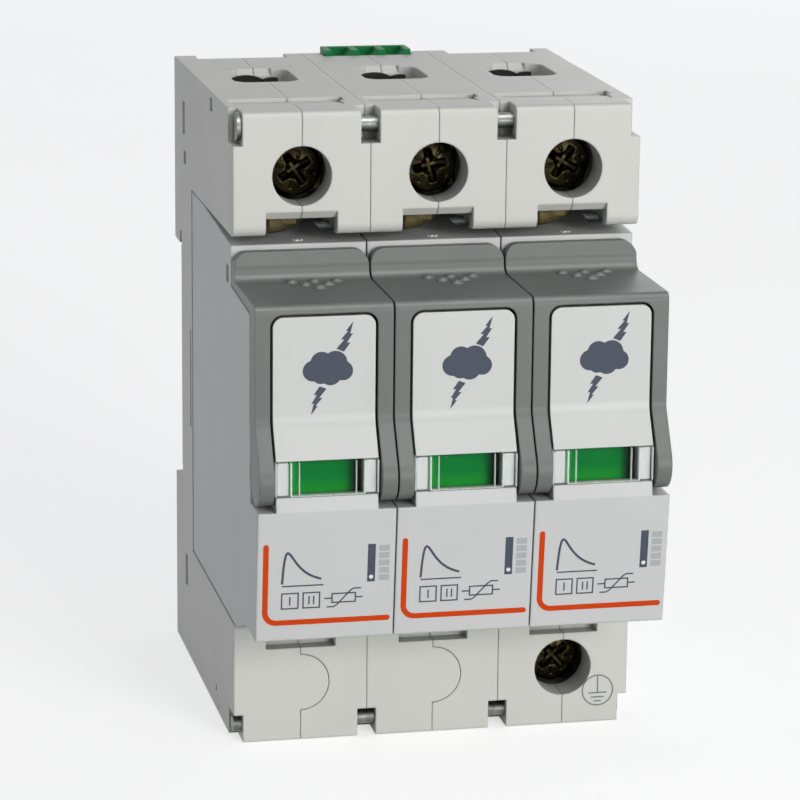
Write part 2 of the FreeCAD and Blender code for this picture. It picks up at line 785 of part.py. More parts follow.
def build_latch(pole):
    """Sprung latch that slides down its T-shaped way to let go of the rail."""
    body = new_body("rail_latch_%d" % pole, pole_left(pole))
    floor_y = d.rail_sheet + d.latch_cover + d.latch_fit
    back_y = floor_y + d.latch_depth
    sheet_y = floor_y + d.latch_sheet
    low = bottom + d.latch_tail
    shoulder = -(rail_edge + d.latch_room)
    wide = d.latch_width / 2
    neck = d.latch_neck / 2
    block(body, (middle - wide, middle + wide), (floor_y, sheet_y), (low, shoulder))
    block(body, (middle - neck, middle + neck), (floor_y, back_y), (low, shoulder))
    tip = -hook_tip
    nose = block(body, (middle - neck, middle + neck), (floor_y, back_y), (shoulder, tip))
    ramp = straight_edges(nose, 0, (back_y, tip))
    bevel_edges(body, nose, ramp, d.latch_sheet)
    pocket = (middle - d.pocket_width / 2, middle + d.pocket_width / 2)
    pocket_back = floor_y + d.latch_sheet + d.latch_fit * 3
    block(body, pocket, (floor_y, pocket_back), (spring_top - d.pocket_height, spring_top), True)
    slot_z = (low + d.latch_sheet, low + 2 * d.latch_sheet)
    block(body, pocket, (back_y - d.latch_sheet, back_y), slot_z, True)
    return body


def build_spring(pole):
    """Folded leaf spring between the latch and the peg in the housing."""
    body = new_body("latch_spring_%d" % pole, pole_left(pole))
    y = d.rail_sheet + d.latch_cover + d.latch_fit
    rise = (d.spring_height - d.cart_side * 2) / SPRING_FOLDS
    low = peg_top + d.cart_side
    right_side = []
    left_side = []
    for fold in range(SPRING_FOLDS + 1):
        lean = d.spring_swing if fold % 2 else -d.spring_swing
        z = low + rise * fold
        right_side.append((middle + lean + d.spring_sheet / 2, z))
        left_side.append((middle + lean - d.spring_sheet / 2, z))
    sketch = new_sketch(body, "XZ_Plane", -y)
    draw_outline(sketch, right_side + left_side[::-1])
    extrude(body, sketch, d.spring_width, False, True)
    return body


# Cartridge

def shell_outline():
    """Side outline of the cartridge's shell, behind the handle's legs."""
    rest_y = front + d.band_depth + d.disc_gap
    leg_back = front - d.brow_reach + d.leg_depth + d.disc_gap
    waist_back = front - d.waist_reach + d.leg_depth + d.disc_gap
    return [
        (cover_front, cart_top), (front + d.droop_start, cart_top), (rest_y, cart_top - d.droop),
        (rest_y, d.shelf_bottom + d.brow_fall - d.disc_gap),
        (leg_back, d.shelf_bottom - d.brow_fall - d.disc_gap), (waist_back, d.waist_rise),
        (heel_y + d.disc_gap, heel_z), (heel_y + d.disc_gap, nose_shoulder),
        (nose_y, nose_shoulder), (nose_y + d.nose_lean, nose_foot),
        (front - d.nose_tuck, nose_foot), (front - d.nose_root, cart_bottom), (cover_front, cart_bottom),
    ]


def panel_front(z):
    """Y of the handle's front face, which the panel continues, at one height."""
    slope = (d.waist_reach - d.brow_reach) / (d.shelf_top - d.waist_rise)
    return front - d.brow_reach - slope * (d.shelf_top - z)


def build_shell(pole):
    """Moulded shell of a cartridge, open at the back."""
    body = new_body("cartridge_%d_shell" % pole, pole_left(pole))
    sides = (d.cart_side, d.pitch - d.cart_side)
    side_shape(body, sides, [shell_outline()])
    inner_y = front - d.brow_reach + d.leg_depth * 2
    core_top = panel_top - d.panel_corner
    step = nose_shoulder - d.nose_lean
    core = [
        (inner_y, core_top), (panel_front(core_top) + d.panel_thickness, core_top),
        (panel_front(d.waist_rise) + d.panel_thickness, d.waist_rise), (lens_back, panel_bottom),
        (lens_back, lens_bottom - d.lens_gap), (lens_front, lens_bottom - d.lens_gap),
        (nose_y, nose_shoulder), (nose_y + d.nose_lean / 8, step), (inner_y, step),
    ]
    side_shape(body, (panel_left, panel_right), [core])
    pocket = d.disc_radius + d.disc_gap
    depth = d.leg_width + d.handle_side
    for x in ((d.cart_side, depth), (d.pitch - depth, sides[1])):
        side_round(body, pivot_y, pivot_z, pocket, x, True)
    hole = d.stub_radius + d.stub_fit
    stub_end = d.leg_width + d.stub_length + d.handle_side
    for x in ((depth, stub_end), (d.pitch - stub_end, d.pitch - depth)):
        side_round(body, pivot_y, pivot_z, hole, x, True)
    half = d.cavity_width / 2
    tall = (-cavity_reach, cavity_reach)
    block(body, (middle - half, middle + half), (cavity_front, cover_front), tall, True)
    cut_drum_room(body)
    mark_y = front + d.grip_mark
    mark_z = cart_top - d.grip_mark
    block(body, (d.cart_side, d.cart_side + d.mark_depth), (mark_y, mark_y + d.mark_width),
          (mark_z - d.mark_height / 2, mark_z), True)
    return body


def cut_drum_room(body):
    """Round room for the status drum, open to the lens, with two small bearings."""
    half = d.drum_width / 2 + d.drum_fit
    side_round(body, drum_y, drum_z, drum_sweep, (middle - half, middle + half), True)
    window = (lens_bottom, d.lens_top)
    block(body, (middle - half, middle + half), (lens_back, drum_y), window, True)
    reach = half + d.drum_axle_length
    bearing = d.drum_axle_radius + d.stub_fit
    side_round(body, drum_y, drum_z, bearing, (middle - reach, middle + reach), True)


def build_cover(pole):
    """Rear cover of a cartridge, with a spigot that fits the shell's cavity."""
    body = new_body("cartridge_%d_cover" % pole, pole_left(pole))
    block(body, (d.cart_side, d.pitch - d.cart_side), (cover_front, cart_back), (cart_bottom, cart_top))
    half = d.cavity_width / 2 - d.varistor_fit
    reach = cavity_reach - d.varistor_fit
    inner = cover_front - d.cover_thickness
    block(body, (middle - half, middle + half), (inner, cover_front), (-reach, reach))
    slot = d.blade_thickness / 2 + d.blade_fit
    for low in (d.blade_centre - d.blade_height / 2, -(d.blade_centre + d.blade_height / 2)):
        z = (low - d.blade_fit, low + d.blade_height + d.blade_fit)
        block(body, (middle - slot, middle + slot), (inner, cart_back), z, True)
    return body


def build_varistor(pole):
    """Coated varistor block in the shell's cavity."""
    body = new_body("cartridge_%d_varistor" % pole, pole_left(pole))
    half = d.cavity_width / 2 - d.varistor_fit
    reach = cavity_reach - d.varistor_fit
    y = (cavity_front + d.varistor_fit, cover_front - d.cover_thickness * 2)
    z = (-reach, reach)
    solid = block(body, (middle - half, middle + half), y, z)
    corners = [(a, b) for a in y for b in z]
    bevel_edges(body, solid, straight_edges(solid, 0, *corners), d.varistor_bevel)
    return body


def build_blade(label, pole, centre):
    """Contact blade from the varistor out through the cover."""
    body = new_body(label, pole_left(pole))
    half = d.blade_thickness / 2
    y = (cover_front - d.cover_thickness * 2 + d.blade_fit, contact_front - d.strip_gap)
    z = (centre - d.blade_height / 2, centre + d.blade_height / 2)
    solid = block(body, (middle - half, middle + half), y, z)
    tips = straight_edges(solid, 0, (y[1], z[0]), (y[1], z[1]))
    bevel_edges(body, solid, tips, d.blade_thickness)
    return body


def build_panel(pole):
    """Label panel between the handle's legs, following the handle's front."""
    body = new_body("cartridge_%d_label_panel" % pole, pole_left(pole))
    thick = d.panel_thickness - d.lens_gap
    faces = [(panel_front(panel_top), panel_top), (panel_front(d.waist_rise), d.waist_rise),
             (lens_front, panel_bottom)]
    corners = faces + [(y + thick, z) for y, z in faces[::-1]]
    solid = side_shape(body, (panel_left, panel_right), [corners])
    tops = [(panel_left, panel_top), (panel_right, panel_top)]
    solid = round_edges(body, solid, straight_edges(solid, 1, *tops), d.panel_corner)
    bends = straight_edges(solid, 0, faces[1])
    round_edges(body, solid, bends, d.waist_radius * 1.5)
    return body


def build_lens(pole):
    """Clear lens over the status drum."""
    body = new_body("cartridge_%d_lens" % pole, pole_left(pole))
    bulge = d.lens_thickness / 4
    solid = block(body, (panel_left, panel_right), (lens_front - bulge, lens_back - d.lens_gap),
                  (lens_bottom, d.lens_top))
    edges = straight_edges(solid, 0, (lens_front - bulge, lens_bottom), (lens_front - bulge, d.lens_top))
    round_edges(body, solid, edges, bulge)
    return body


def build_drum(pole):
    """Four-sided status drum that turns on two short axles."""
    body = new_body("cartridge_%d_drum" % pole, pole_left(pole))
    half = d.drum_side / 2
    x = (middle - d.drum_width / 2, middle + d.drum_width / 2)
    block(body, x, (drum_y - half, drum_y + half), (drum_z - half, drum_z + half))
    reach = d.drum_width / 2 + d.drum_axle_length
    side_round(body, drum_y, drum_z, d.drum_axle_radius, (middle - reach, middle + reach))
    return body


def build_handle(pole):
    """Swinging handle: two legs on round pivots, a brow over the panel and a grip band."""
    body = new_body("cartridge_%d_handle" % pole, pole_left(pole))
    sides = (d.handle_side, d.pitch - d.handle_side)
    brow_y = front - d.brow_reach
    waist_y = front - d.waist_reach
    outline = [
        (front + d.band_depth, d.band_top), (front + d.band_lean, d.band_top), (front, d.band_crease),
        (front, d.shelf_top), (brow_y, d.shelf_top), (waist_y, d.waist_rise),
        (pivot_y + d.disc_radius * TOE[0], pivot_z + d.disc_radius * TOE[1]),
        (pivot_y, pivot_z), (heel_y, heel_z), (waist_y + d.leg_depth, d.waist_rise - d.waist_skew),
        (brow_y + d.leg_depth, d.shelf_bottom - d.brow_fall),
        (front + d.band_depth, d.shelf_bottom + d.brow_fall),
    ]
    side_shape(body, sides, [outline])
    solid = side_round(body, pivot_y, pivot_z, d.disc_radius, sides)
    solid = round_edges(body, solid, straight_edges(solid, 0, (front, d.shelf_top)), d.shelf_radius)
    solid = round_edges(body, solid, straight_edges(solid, 0, (brow_y, d.shelf_top)), d.brow_radius)
    waist = straight_edges(solid, 0, (waist_y, d.waist_rise))
    solid = round_edges(body, solid, waist, d.waist_radius)
    window_back = brow_y + d.leg_depth + d.brow_radius
    window = block(body, (d.leg_width, d.pitch - d.leg_width), (pivot_y - 2 * d.disc_radius, window_back),
                   (pivot_z - 2 * d.disc_radius, d.shelf_bottom), True)
    tops = [(d.leg_width, d.shelf_bottom), (d.pitch - d.leg_width, d.shelf_bottom)]
    solid = round_edges(body, window, straight_edges(window, 1, *tops), d.panel_corner + d.panel_gap)
    caps = [(sides[0], d.band_top), (sides[1], d.band_top)]
    round_edges(body, solid, straight_edges(solid, 1, *caps), d.band_corner)
    inner = d.leg_width + d.stub_length
    for x in ((d.leg_width, inner), (d.pitch - inner, d.pitch - d.leg_width)):
        side_round(body, pivot_y, pivot_z, d.stub_radius, x)
    return body


# Signalling connector

def build_signal_socket():
    """Pin header at the foot of the rear recess of the middle pole."""
    body = new_body("signal_socket", pole_left(SIGNAL_POLE))
    x = (d.ear_left + d.plug_fit, recess_right - d.plug_fit)
    floor_z = top - d.recess_height
    start = d.recess_wall
    block(body, x, (start, start + d.socket_depth), (floor_z, floor_z + d.socket_height))
    for pole in range(SIZES["plug_poles"]):
        centre = (x[0] + x[1]) / 2 + d.plug_pitch * (pole - 1)
        y = start + d.socket_depth / 2
        half = d.pin_side / 2
        block(body, (centre - half, centre + half), (y - half, y + half),
              (floor_z + d.socket_height, floor_z + d.socket_height + d.pin_length))
    return body


def build_signal_plug():
    """Pluggable connector with three dished screw wells on top."""
    body = new_body("signal_plug", pole_left(SIGNAL_POLE))
    x = (d.ear_left + d.plug_fit, recess_right - d.plug_fit)
    high = top + d.plug_rise
    low = top - d.recess_height + d.socket_height + d.plug_fit
    start = d.recess_wall + d.plug_fit
    block(body, x, (start, start + d.plug_depth), (low, high))
    for pole in range(SIZES["plug_poles"]):
        centre = (x[0] + x[1]) / 2 + d.plug_pitch * (pole - 1)
        y = d.recess_wall + d.socket_depth / 2
        half = d.pin_side / 2 + d.cart_side
        pin_z = (low, low + d.pin_length + d.plug_fit)
        block(body, (centre - half, centre + half), (y - half, y + half), pin_z, True)
        front_round(body, centre, high + d.well_radius / 4, d.well_radius,
                    (start, start + d.plug_depth * 0.8), True)
    return body


# Whole device

nodes = []
for pole in POLES:
    nodes += build_housing(pole)
    nodes.append(build_screw("line_%d_screw" % pole, pole, line_axis))
    nodes.append(build_cage("line_%d_cage" % pole, pole, line_axis))
    nodes.append(build_line_contact(pole))
    nodes.append(build_shell(pole))
    nodes.append(build_cover(pole))
    nodes.append(build_varistor(pole))
    nodes.append(build_blade("cartridge_%d_line_blade" % pole, pole, d.blade_centre))
    nodes.append(build_blade("cartridge_%d_earth_blade" % pole, pole, -d.blade_centre))
    nodes.append(build_panel(pole))
    nodes.append(build_lens(pole))
    nodes.append(build_drum(pole))
    nodes.append(build_handle(pole))
for pole in LATCH_POLES:
    nodes.append(build_latch(pole))
    nodes.append(build_spring(pole))
nodes.append(build_screw("earth_screw", EARTH_POLE, earth_axis))
nodes.append(build_cage("earth_cage", EARTH_POLE, earth_axis))
nodes.append(build_earth_bar())
nodes.append(build_tie_rod("upper_tie_rod", rod_y, rod_z, True))
nodes.append(build_tie_rod("lower_tie_rod", low_rod_y, low_rod_z, False))
nodes.append(build_signal_socket())
nodes.append(build_signal_plug())
doc.recompute()

for thing in doc.Objects:
    if "Invalid" in thing.State or "Error" in thing.State:
        raise ValueError("%s failed: %s" % (thing.Name, thing.State))
for node in nodes:
    if node.Shape.isNull() or not node.Shape.isValid() or len(node.Shape.Solids) != 1:
        raise ValueError("%s has no single valid solid" % node.Label)

os.makedirs("parts", exist_ok=True)
for node in nodes:
    node.Shape.exportStep("parts/%s.step" % node.Label)
print("%d sub-parts written" % len(nodes))
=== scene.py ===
"""Looks of a three-pole surge protective device: finishes for the moulded, metal and
clear parts, and the small printed and moulded details that sit on them. Sizes are in
millimetres where nothing else is said."""

import math

import bpy
import numpy as np
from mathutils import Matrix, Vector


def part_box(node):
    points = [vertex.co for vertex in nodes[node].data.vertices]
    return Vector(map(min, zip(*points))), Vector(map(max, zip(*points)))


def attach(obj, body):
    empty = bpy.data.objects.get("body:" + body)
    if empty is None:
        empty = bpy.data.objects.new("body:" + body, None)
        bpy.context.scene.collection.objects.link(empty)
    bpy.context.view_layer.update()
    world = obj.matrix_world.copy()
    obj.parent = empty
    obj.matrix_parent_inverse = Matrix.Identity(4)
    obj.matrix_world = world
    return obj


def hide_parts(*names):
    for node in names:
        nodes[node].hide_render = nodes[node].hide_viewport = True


MM = 0.001
POLES = (1, 2, 3)
PITCH = 17.8                      # width of one pole, mm
SIDE_GAP = 0.1                    # between a pole's edge and its cartridge, mm
ACROSS = (1, 0, 0)
UP = (0, 0, 1)

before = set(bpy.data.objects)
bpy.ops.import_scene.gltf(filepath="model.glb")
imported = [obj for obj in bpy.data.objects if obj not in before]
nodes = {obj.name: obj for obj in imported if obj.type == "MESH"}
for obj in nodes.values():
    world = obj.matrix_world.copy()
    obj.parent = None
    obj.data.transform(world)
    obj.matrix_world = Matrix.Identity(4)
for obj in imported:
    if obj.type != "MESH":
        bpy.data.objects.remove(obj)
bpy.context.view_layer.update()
pole_left = {pole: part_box("cartridge_%d_shell" % pole)[0].x / MM - SIDE_GAP for pole in POLES}


# Shader maths

RAYS = 4                          # rays sent out for each rounded edge and each pocket
TURNED = (0.01, 0.12)             # how far rounding turns a surface: not at all, at an edge
OPENNESS = (0.3, 0.03)            # share of open sky: in front of a face, deep in a pocket; the painted pocket shade runs between them


def paint(red, green, blue):
    """Linear colour of one written in screen values from 0 to 255."""
    screen = np.array([red, green, blue]) / 255
    low = screen / 12.92
    high = ((screen + 0.055) / 1.055) ** 2.4
    return (*np.where(screen <= 0.04045, low, high).tolist(), 1.0)


class Value:
    """An output socket; arithmetic on it adds the Math nodes that work it out."""

    def __init__(self, finish, socket):
        self.finish = finish
        self.socket = socket

    def maths(self, operation, *others):
        """A Math node with this value first."""
        sockets = dict(enumerate((self, *others)))
        return self.finish.node("ShaderNodeMath", {"operation": operation}, sockets)

    def __add__(self, other):
        return self.maths("ADD", other)

    def __sub__(self, other):
        return self.maths("SUBTRACT", other)

    def __rsub__(self, other):
        return self.finish.node("ShaderNodeMath", {"operation": "SUBTRACT"}, {0: other, 1: self})

    def __mul__(self, other):
        return self.maths("MULTIPLY", other)

    __radd__ = __add__
    __rmul__ = __mul__

    def above(self, start, end):
        """0 up to start, 1 from end on and even in between."""
        return self.finish.node("ShaderNodeMapRange", {"clamp": True},
                                {"Value": self, "From Min": start, "From Max": end})


class Finish:
    """The nodes of a material or of the world, and the one way in which they are added."""

    def __init__(self, holder):
        self.holder = holder
        holder.use_nodes = True
        self.tree = holder.node_tree
        self.tree.nodes.clear()

    def node(self, kind, settings=None, sockets=None, out=0):
        """Adds a node: its settings first, then its sockets' values or links."""
        made = self.tree.nodes.new(kind)
        for key, value in (settings or {}).items():
            setattr(made, key, value)
        for key, value in (sockets or {}).items():
            socket = self.find(made.inputs, key)
            if isinstance(value, Value):
                self.tree.links.new(value.socket, socket)
            else:
                socket.default_value = value
        return Value(self, self.find(made.outputs, out))

    @staticmethod
    def find(sockets, key):
        """A socket by its number, or the one in use that has a name."""
        if isinstance(key, int):
            return sockets[key]
        return next(s for s in sockets if s.enabled and s.name == key)

    def place(self):
        """Object coordinates in millimetres."""
        spot = self.node("ShaderNodeTexCoord", out="Object")
        return self.node("ShaderNodeVectorMath", {"operation": "SCALE"}, {0: spot, "Scale": 1 / MM})

    def parts(self, vector):
        """The three numbers of a vector."""
        split = {0: vector}
        return [self.node("ShaderNodeSeparateXYZ", None, split, out) for out in range(3)]

    def noise(self, place, size, detail=2.0, rough=0.5):
        """Cloudy values from 0 to 1 with patches of that size in millimetres."""
        return self.node("ShaderNodeTexNoise", None,
                         {"Vector": place, "Scale": 1 / size, "Detail": detail, "Roughness": rough})

    def stretched(self, place, x, y, z):
        """Coordinates pulled out, so that a pattern on them runs along one axis."""
        return self.node("ShaderNodeMapping", {"vector_type": "POINT"},
                         {"Vector": place, "Scale": (1 / x, 1 / y, 1 / z)})

    def mix(self, share, first, second):
        """A colour between two others."""
        return self.node("ShaderNodeMix", {"data_type": "RGBA"},
                         {"Factor": share, "A": first, "B": second}, "Result")

    def rounded(self, radius):
        """Surface direction as if every edge had that radius in millimetres."""
        return self.node("ShaderNodeBevel", {"samples": RAYS}, {"Radius": radius * MM})

    def edges(self, soft):
        """1 along the edges that the rounding turned, 0 on open faces."""
        plain = self.node("ShaderNodeNewGeometry", out="Normal")
        along = self.node("ShaderNodeVectorMath", {"operation": "DOT_PRODUCT"},
                          {0: soft, 1: plain}, "Value")
        return (1 - along).above(*TURNED)

    def depths(self, reach):
        """0 on faces that lie open and 1 deep inside pockets, felt for over that many mm: where the
        painted pocket shade goes.
        """
        openness = self.node("ShaderNodeAmbientOcclusion", {"samples": RAYS},
                             {"Distance": reach * MM}, "AO")
        return openness.above(*OPENNESS)

    def bump(self, height, depth, soft=None):
        """Normal with a height pattern of that depth in millimetres."""
        sockets = {"Height": height, "Distance": depth * MM, "Strength": 1.0}
        if soft is not None:
            sockets["Normal"] = soft
        return self.node("ShaderNodeBump", None, sockets)

    def surface(self, **sockets):
        """Closes the material with one Principled surface; underscores stand for spaces."""
        named = {key.replace("_", " "): value for key, value in sockets.items()}
        return self.close(self.node("ShaderNodeBsdfPrincipled", None, named))

    def close(self, shader, kind="ShaderNodeOutputMaterial"):
        """Sends a shader to the output and gives back what it finishes."""
        output = self.tree.nodes.new(kind)
        self.tree.links.new(shader.socket, output.inputs["Surface"])
        return self.holder


def new_finish(name):
    """An empty finish for a new material."""
    return Finish(bpy.data.materials.new(name))


# Finishes

POCKET = 9.0                      # how far a pocket's walls are felt for by the painted shade, mm
# colour of the painted shade in deep pockets
POCKET_SHADE_GREY = paint(66, 66, 62)


def moulded(name, colour, low, worn, gloss=0.38, grain=0.005, rounding=0.22, pocket_shade=0.8, sheen=0.4):
    """Moulded plastic: slow drift of tone, fine grain, rounded edges rubbed a little lighter,
    partly as wear and partly as a painted highlight, and painted shade that greys the inside
    of deep pockets."""
    finish = new_finish(name)
    place = finish.place()
    drift = finish.noise(place, size=14.0, detail=3.0)
    flow = finish.noise(finish.stretched(place, 2.2, 2.2, 9.0), size=2.0, detail=3.0)
    pores = finish.noise(place, size=0.16, rough=0.6)
    streaks = finish.stretched(place, 3.0, 1.0, 0.5)
    scuffs = finish.noise(streaks, size=0.9, detail=5.0, rough=0.65)
    soft = finish.rounded(rounding)
    # rounded edges lightened towards the third colour: partly wear, partly a painted highlight
    # along them
    wear_and_highlight = finish.edges(soft) * scuffs.above(0.3, 0.75) * 0.5
    tone = finish.mix(drift.above(0.35, 0.7) * 0.55 + flow * 0.2, colour, low)
    tone = finish.mix(wear_and_highlight, tone, worn)
    # painted shade: the inside of deep pockets is greyed by how little open sky it has
    tone = finish.mix(finish.depths(POCKET) * pocket_shade, tone, POCKET_SHADE_GREY)
    rough = gloss + drift * 0.08 + pores * 0.06 - wear_and_highlight * 0.16 + scuffs.above(0.66, 0.8) * 0.06
    height = pores * 0.8 + flow * 0.2
    return finish.surface(Base_Color=tone, Roughness=rough,
                          Normal=finish.bump(height, grain, soft), Specular_IOR_Level=sheen)


def metal(name, colour, patina, gloss=0.24, share=(0.35, 0.65), patch=0.8, brushed=(1, 1, 1)):
    """Plated or bare metal: patches of patina, fine drawing marks, bright rubbed edges."""
    finish = new_finish(name)
    place = finish.place()
    patches = finish.noise(place, size=patch, detail=4.0, rough=0.6)
    marks = finish.noise(finish.stretched(place, *brushed), size=0.12, detail=3.0, rough=0.6)
    soft = finish.rounded(0.12)
    rim = finish.edges(soft)
    tone = finish.mix(patches.above(*share) * (1 - rim * 0.6), colour, patina)
    rough = gloss + patches * 0.16 + marks * 0.12 - rim * 0.06
    return finish.surface(Base_Color=tone, Metallic=1.0, Roughness=rough,
                          Normal=finish.bump(marks, 0.004, soft))


def clear_plastic(name):
    """Clear moulding: open faces nearly see-through, rims painted milky and bright as a painted
    highlight, faint flow marks.
    """
    finish = new_finish(name)
    place = finish.place()
    waves = finish.noise(finish.stretched(place, 4.0, 1.0, 1.0), size=1.6)
    soft = finish.rounded(0.18)
    rim = finish.edges(soft)
    # painted highlight: the rims go near white and less see-through
    tone = finish.mix(rim, paint(90, 104, 98), paint(246, 250, 248))
    return finish.surface(Base_Color=tone, Roughness=0.05 + waves * 0.04, IOR=1.49,
                          Alpha=0.02 + rim * 0.45 + waves * 0.02,
                          Normal=finish.bump(waves, 0.02, soft))


def painted_glow_rib(name):
    """Ribs of the clear moulding, painted near white and made to glow faintly as a painted
    highlight for the light they gather; glossy, not quite opaque.
    """
    finish = new_finish(name)
    place = finish.place()
    drift = finish.noise(finish.stretched(place, 1.0, 1.0, 3.0), size=0.5, detail=3.0)
    tone = finish.mix(drift, paint(250, 253, 251), paint(206, 218, 211))
    # painted highlight: a near-white colour and a faint glow, though the ribs are no lamp
    return finish.surface(Base_Color=tone, Roughness=0.08 + drift * 0.06,
                          Alpha=drift.above(0.2, 0.7) * 0.7 + 0.3,
                          Emission_Color=tone, Emission_Strength=0.2,
                          Normal=finish.bump(drift, 0.02))


def drum_plastic(name):
    """Green of the status drum with painted light and shade: painted shade darkens it above,
    painted light makes it yellower below and paler at its left end, and painted shade darkens
    its right end and, darker still, the band beyond it."""
    finish = new_finish(name)
    place = finish.place()
    across, _, height = finish.parts(place)
    along = (across - pole_left[1]).maths("MODULO", PITCH)
    lines = finish.noise(finish.stretched(place, 8.0, 1.0, 1.0), size=0.7)
    cloud = finish.noise(place, size=2.4, detail=3.0)
    tone = finish.mix(cloud.above(0.3, 0.75) * 0.5 + lines * 0.2,
                      paint(0, 134, 54), paint(0, 116, 46))
    # painted light and shade, band by band: dark above, light and yellow at the foot, pale at the
    # left end, shaded at the right end, darkest beyond it
    for share, colour in ((height.above(-0.6, 0.4) * 0.7, paint(0, 82, 34)),
                          (height.above(-2.4, -3.6) * 0.6, paint(34, 158, 44)),
                          (along.above(5.7, 5.0), paint(40, 158, 66)),
                          (along.above(11.6, 12.5), paint(0, 66, 30)),
                          (along.above(12.6, 12.75), paint(3, 20, 9))):
        tone = finish.mix(share, tone, colour)
    return finish.surface(Base_Color=tone, Roughness=0.34 + cloud * 0.12, Specular_IOR_Level=0.04,
                          Normal=finish.bump(lines, 0.01, finish.rounded(0.3)))


def ink(name, colour, worn):
    """Pad-printed ink: matt, slightly thin and speckled where the grain shows through."""
    finish = new_finish(name)
    place = finish.place()
    speckle = finish.noise(place, size=0.14, detail=3.0, rough=0.7)
    cloud = finish.noise(place, size=2.5)
    tone = finish.mix(speckle.above(0.5, 0.8) * 0.5 + cloud * 0.12, colour, worn)
    return finish.surface(Base_Color=tone, Roughness=0.5 + speckle * 0.14, Specular_IOR_Level=0.15,
                          Normal=finish.bump(speckle, 0.003))


def coating(name):
    """Dipped epoxy coating of the varistor: glossy, with a slight orange-peel surface."""
    finish = new_finish(name)
    place = finish.place()
    peel = finish.noise(place, size=0.9)
    cloud = finish.noise(place, size=5.0, detail=3.0)
    tone = finish.mix(cloud.above(0.3, 0.7), paint(38, 74, 128), paint(30, 60, 108))
    return finish.surface(Base_Color=tone, Roughness=0.28 + cloud * 0.1, Coat_Weight=0.25,
                          Normal=finish.bump(peel, 0.05, finish.rounded(0.5)))


# edge grey of the housing and cartridge: partly wear, partly painted highlight
EDGE_WEAR_AND_HIGHLIGHT_GREY = paint(230, 231, 227)

finishes = {
    # the third colour of each moulding is what its rounded edges are lightened to: partly wear,
    # partly painted highlight
    "housing_plastic": moulded("housing moulding", paint(213, 214, 208), paint(206, 207, 202),
                               EDGE_WEAR_AND_HIGHLIGHT_GREY, rounding=0.35),
    "cartridge_plastic": moulded("cartridge moulding", paint(208, 209, 209), paint(202, 203, 204),
                                 EDGE_WEAR_AND_HIGHLIGHT_GREY, gloss=0.37, rounding=0.4, pocket_shade=0.3),
    "handle_plastic": moulded("handle moulding", paint(112, 117, 114), paint(105, 110, 108),
                              paint(150, 154, 152), gloss=0.36, grain=0.008, rounding=0.3),
    "label_plastic": moulded("label panel", paint(211, 213, 211), paint(205, 207, 206),
                             paint(234, 236, 234), gloss=0.3, grain=0.002, rounding=0.15),
    "latch_plastic": moulded("rail latch moulding", paint(188, 190, 186), paint(178, 181, 178),
                             paint(214, 216, 212), grain=0.008),
    "signal_green": moulded("connector moulding", paint(4, 122, 62), paint(2, 106, 52),
                            paint(40, 146, 88), gloss=0.4, grain=0.004, sheen=0.15),
    "clear_plastic": clear_plastic("clear moulding"),
    "green_plastic": drum_plastic("status drum"),
    "varistor_coating": coating("varistor coating"),
    # the screws' olive patches are partly patina and partly a painted highlight for the glints on
    # their heads
    "screw_steel": metal("passivated screw", paint(38, 32, 22), paint(74, 70, 42),
                         gloss=0.14, share=(0.42, 0.72), patch=2.6),
    "cage_steel": metal("zinc plated cage", paint(176, 176, 168), paint(132, 128, 108), gloss=0.28),
    "rod_steel": metal("steel rod", paint(134, 136, 133), paint(84, 86, 82),
                       gloss=0.26, share=(0.4, 0.75), patch=1.5, brushed=(6, 1, 1)),
    "spring_steel": metal("spring steel", paint(150, 152, 156), paint(98, 98, 100), gloss=0.3),
    "contact_brass": metal("brass contact", paint(104, 96, 68), paint(74, 68, 48),
                           gloss=0.48, share=(0.3, 0.9)),
    "blade_copper": metal("tinned copper blade", paint(190, 178, 160), paint(176, 122, 84),
                          gloss=0.28),
}
slate_ink = ink("slate ink", paint(78, 84, 98), paint(88, 94, 107))
orange_ink = ink("orange ink", paint(208, 66, 10), paint(212, 84, 30))
pale_ink = ink("pale ink", paint(176, 181, 186), paint(194, 198, 201))
white_ink = ink("white ink", paint(236, 238, 236), paint(222, 224, 222))
sign_ink = ink("sign ink", paint(120, 124, 124), paint(150, 153, 152))

for node in nodes.values():
    for holder in node.material_slots:
        holder.material = finishes[holder.material.name.split(".")[0]]


# New pieces

INK = 0.02                        # how far printed ink stands out, mm
SUNK = 0.02                       # how far its underside lies in the moulding, mm
SHARPEST = 0.35                   # a mitre grows to 1 / this at most
BEND = 9                          # points of a printed line's round end or corner


def add_piece(name, shape, finish, body, smooth=False):
    """A mesh from points in millimetres and their faces; it rides on a body and takes a
    slot's finish."""
    points, faces = shape
    mesh = bpy.data.meshes.new(name)
    mesh.from_pydata((np.asarray(points, float) * MM).tolist(), [], [list(face) for face in faces])
    mesh.validate()
    if smooth:
        mesh.shade_smooth()
    piece = bpy.data.objects.new(name, mesh)
    bpy.context.scene.collection.objects.link(piece)
    mesh.materials.append(finish)
    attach(piece, body)
    return piece


def grid_faces(rows, columns, ring=True):
    """Quads of a grid of points, row by row; a ring joins the last column to the first."""
    steps = np.arange(columns if ring else columns - 1)
    row, column = np.meshgrid(np.arange(rows - 1), steps, indexing="ij")
    after = (column + 1) % columns
    quads = [row * columns + column, row * columns + after, (row + 1) * columns + after,
             (row + 1) * columns + column]
    return np.stack(quads, -1).reshape(-1, 4).tolist()


def joined(shapes):
    """Several (points, faces) put into one."""
    points, faces, count = [], [], 0
    for more, polygons in shapes:
        faces += [[corner + count for corner in polygon] for polygon in polygons]
        points.append(np.asarray(more, float))
        count += len(more)
    return np.concatenate(points), faces


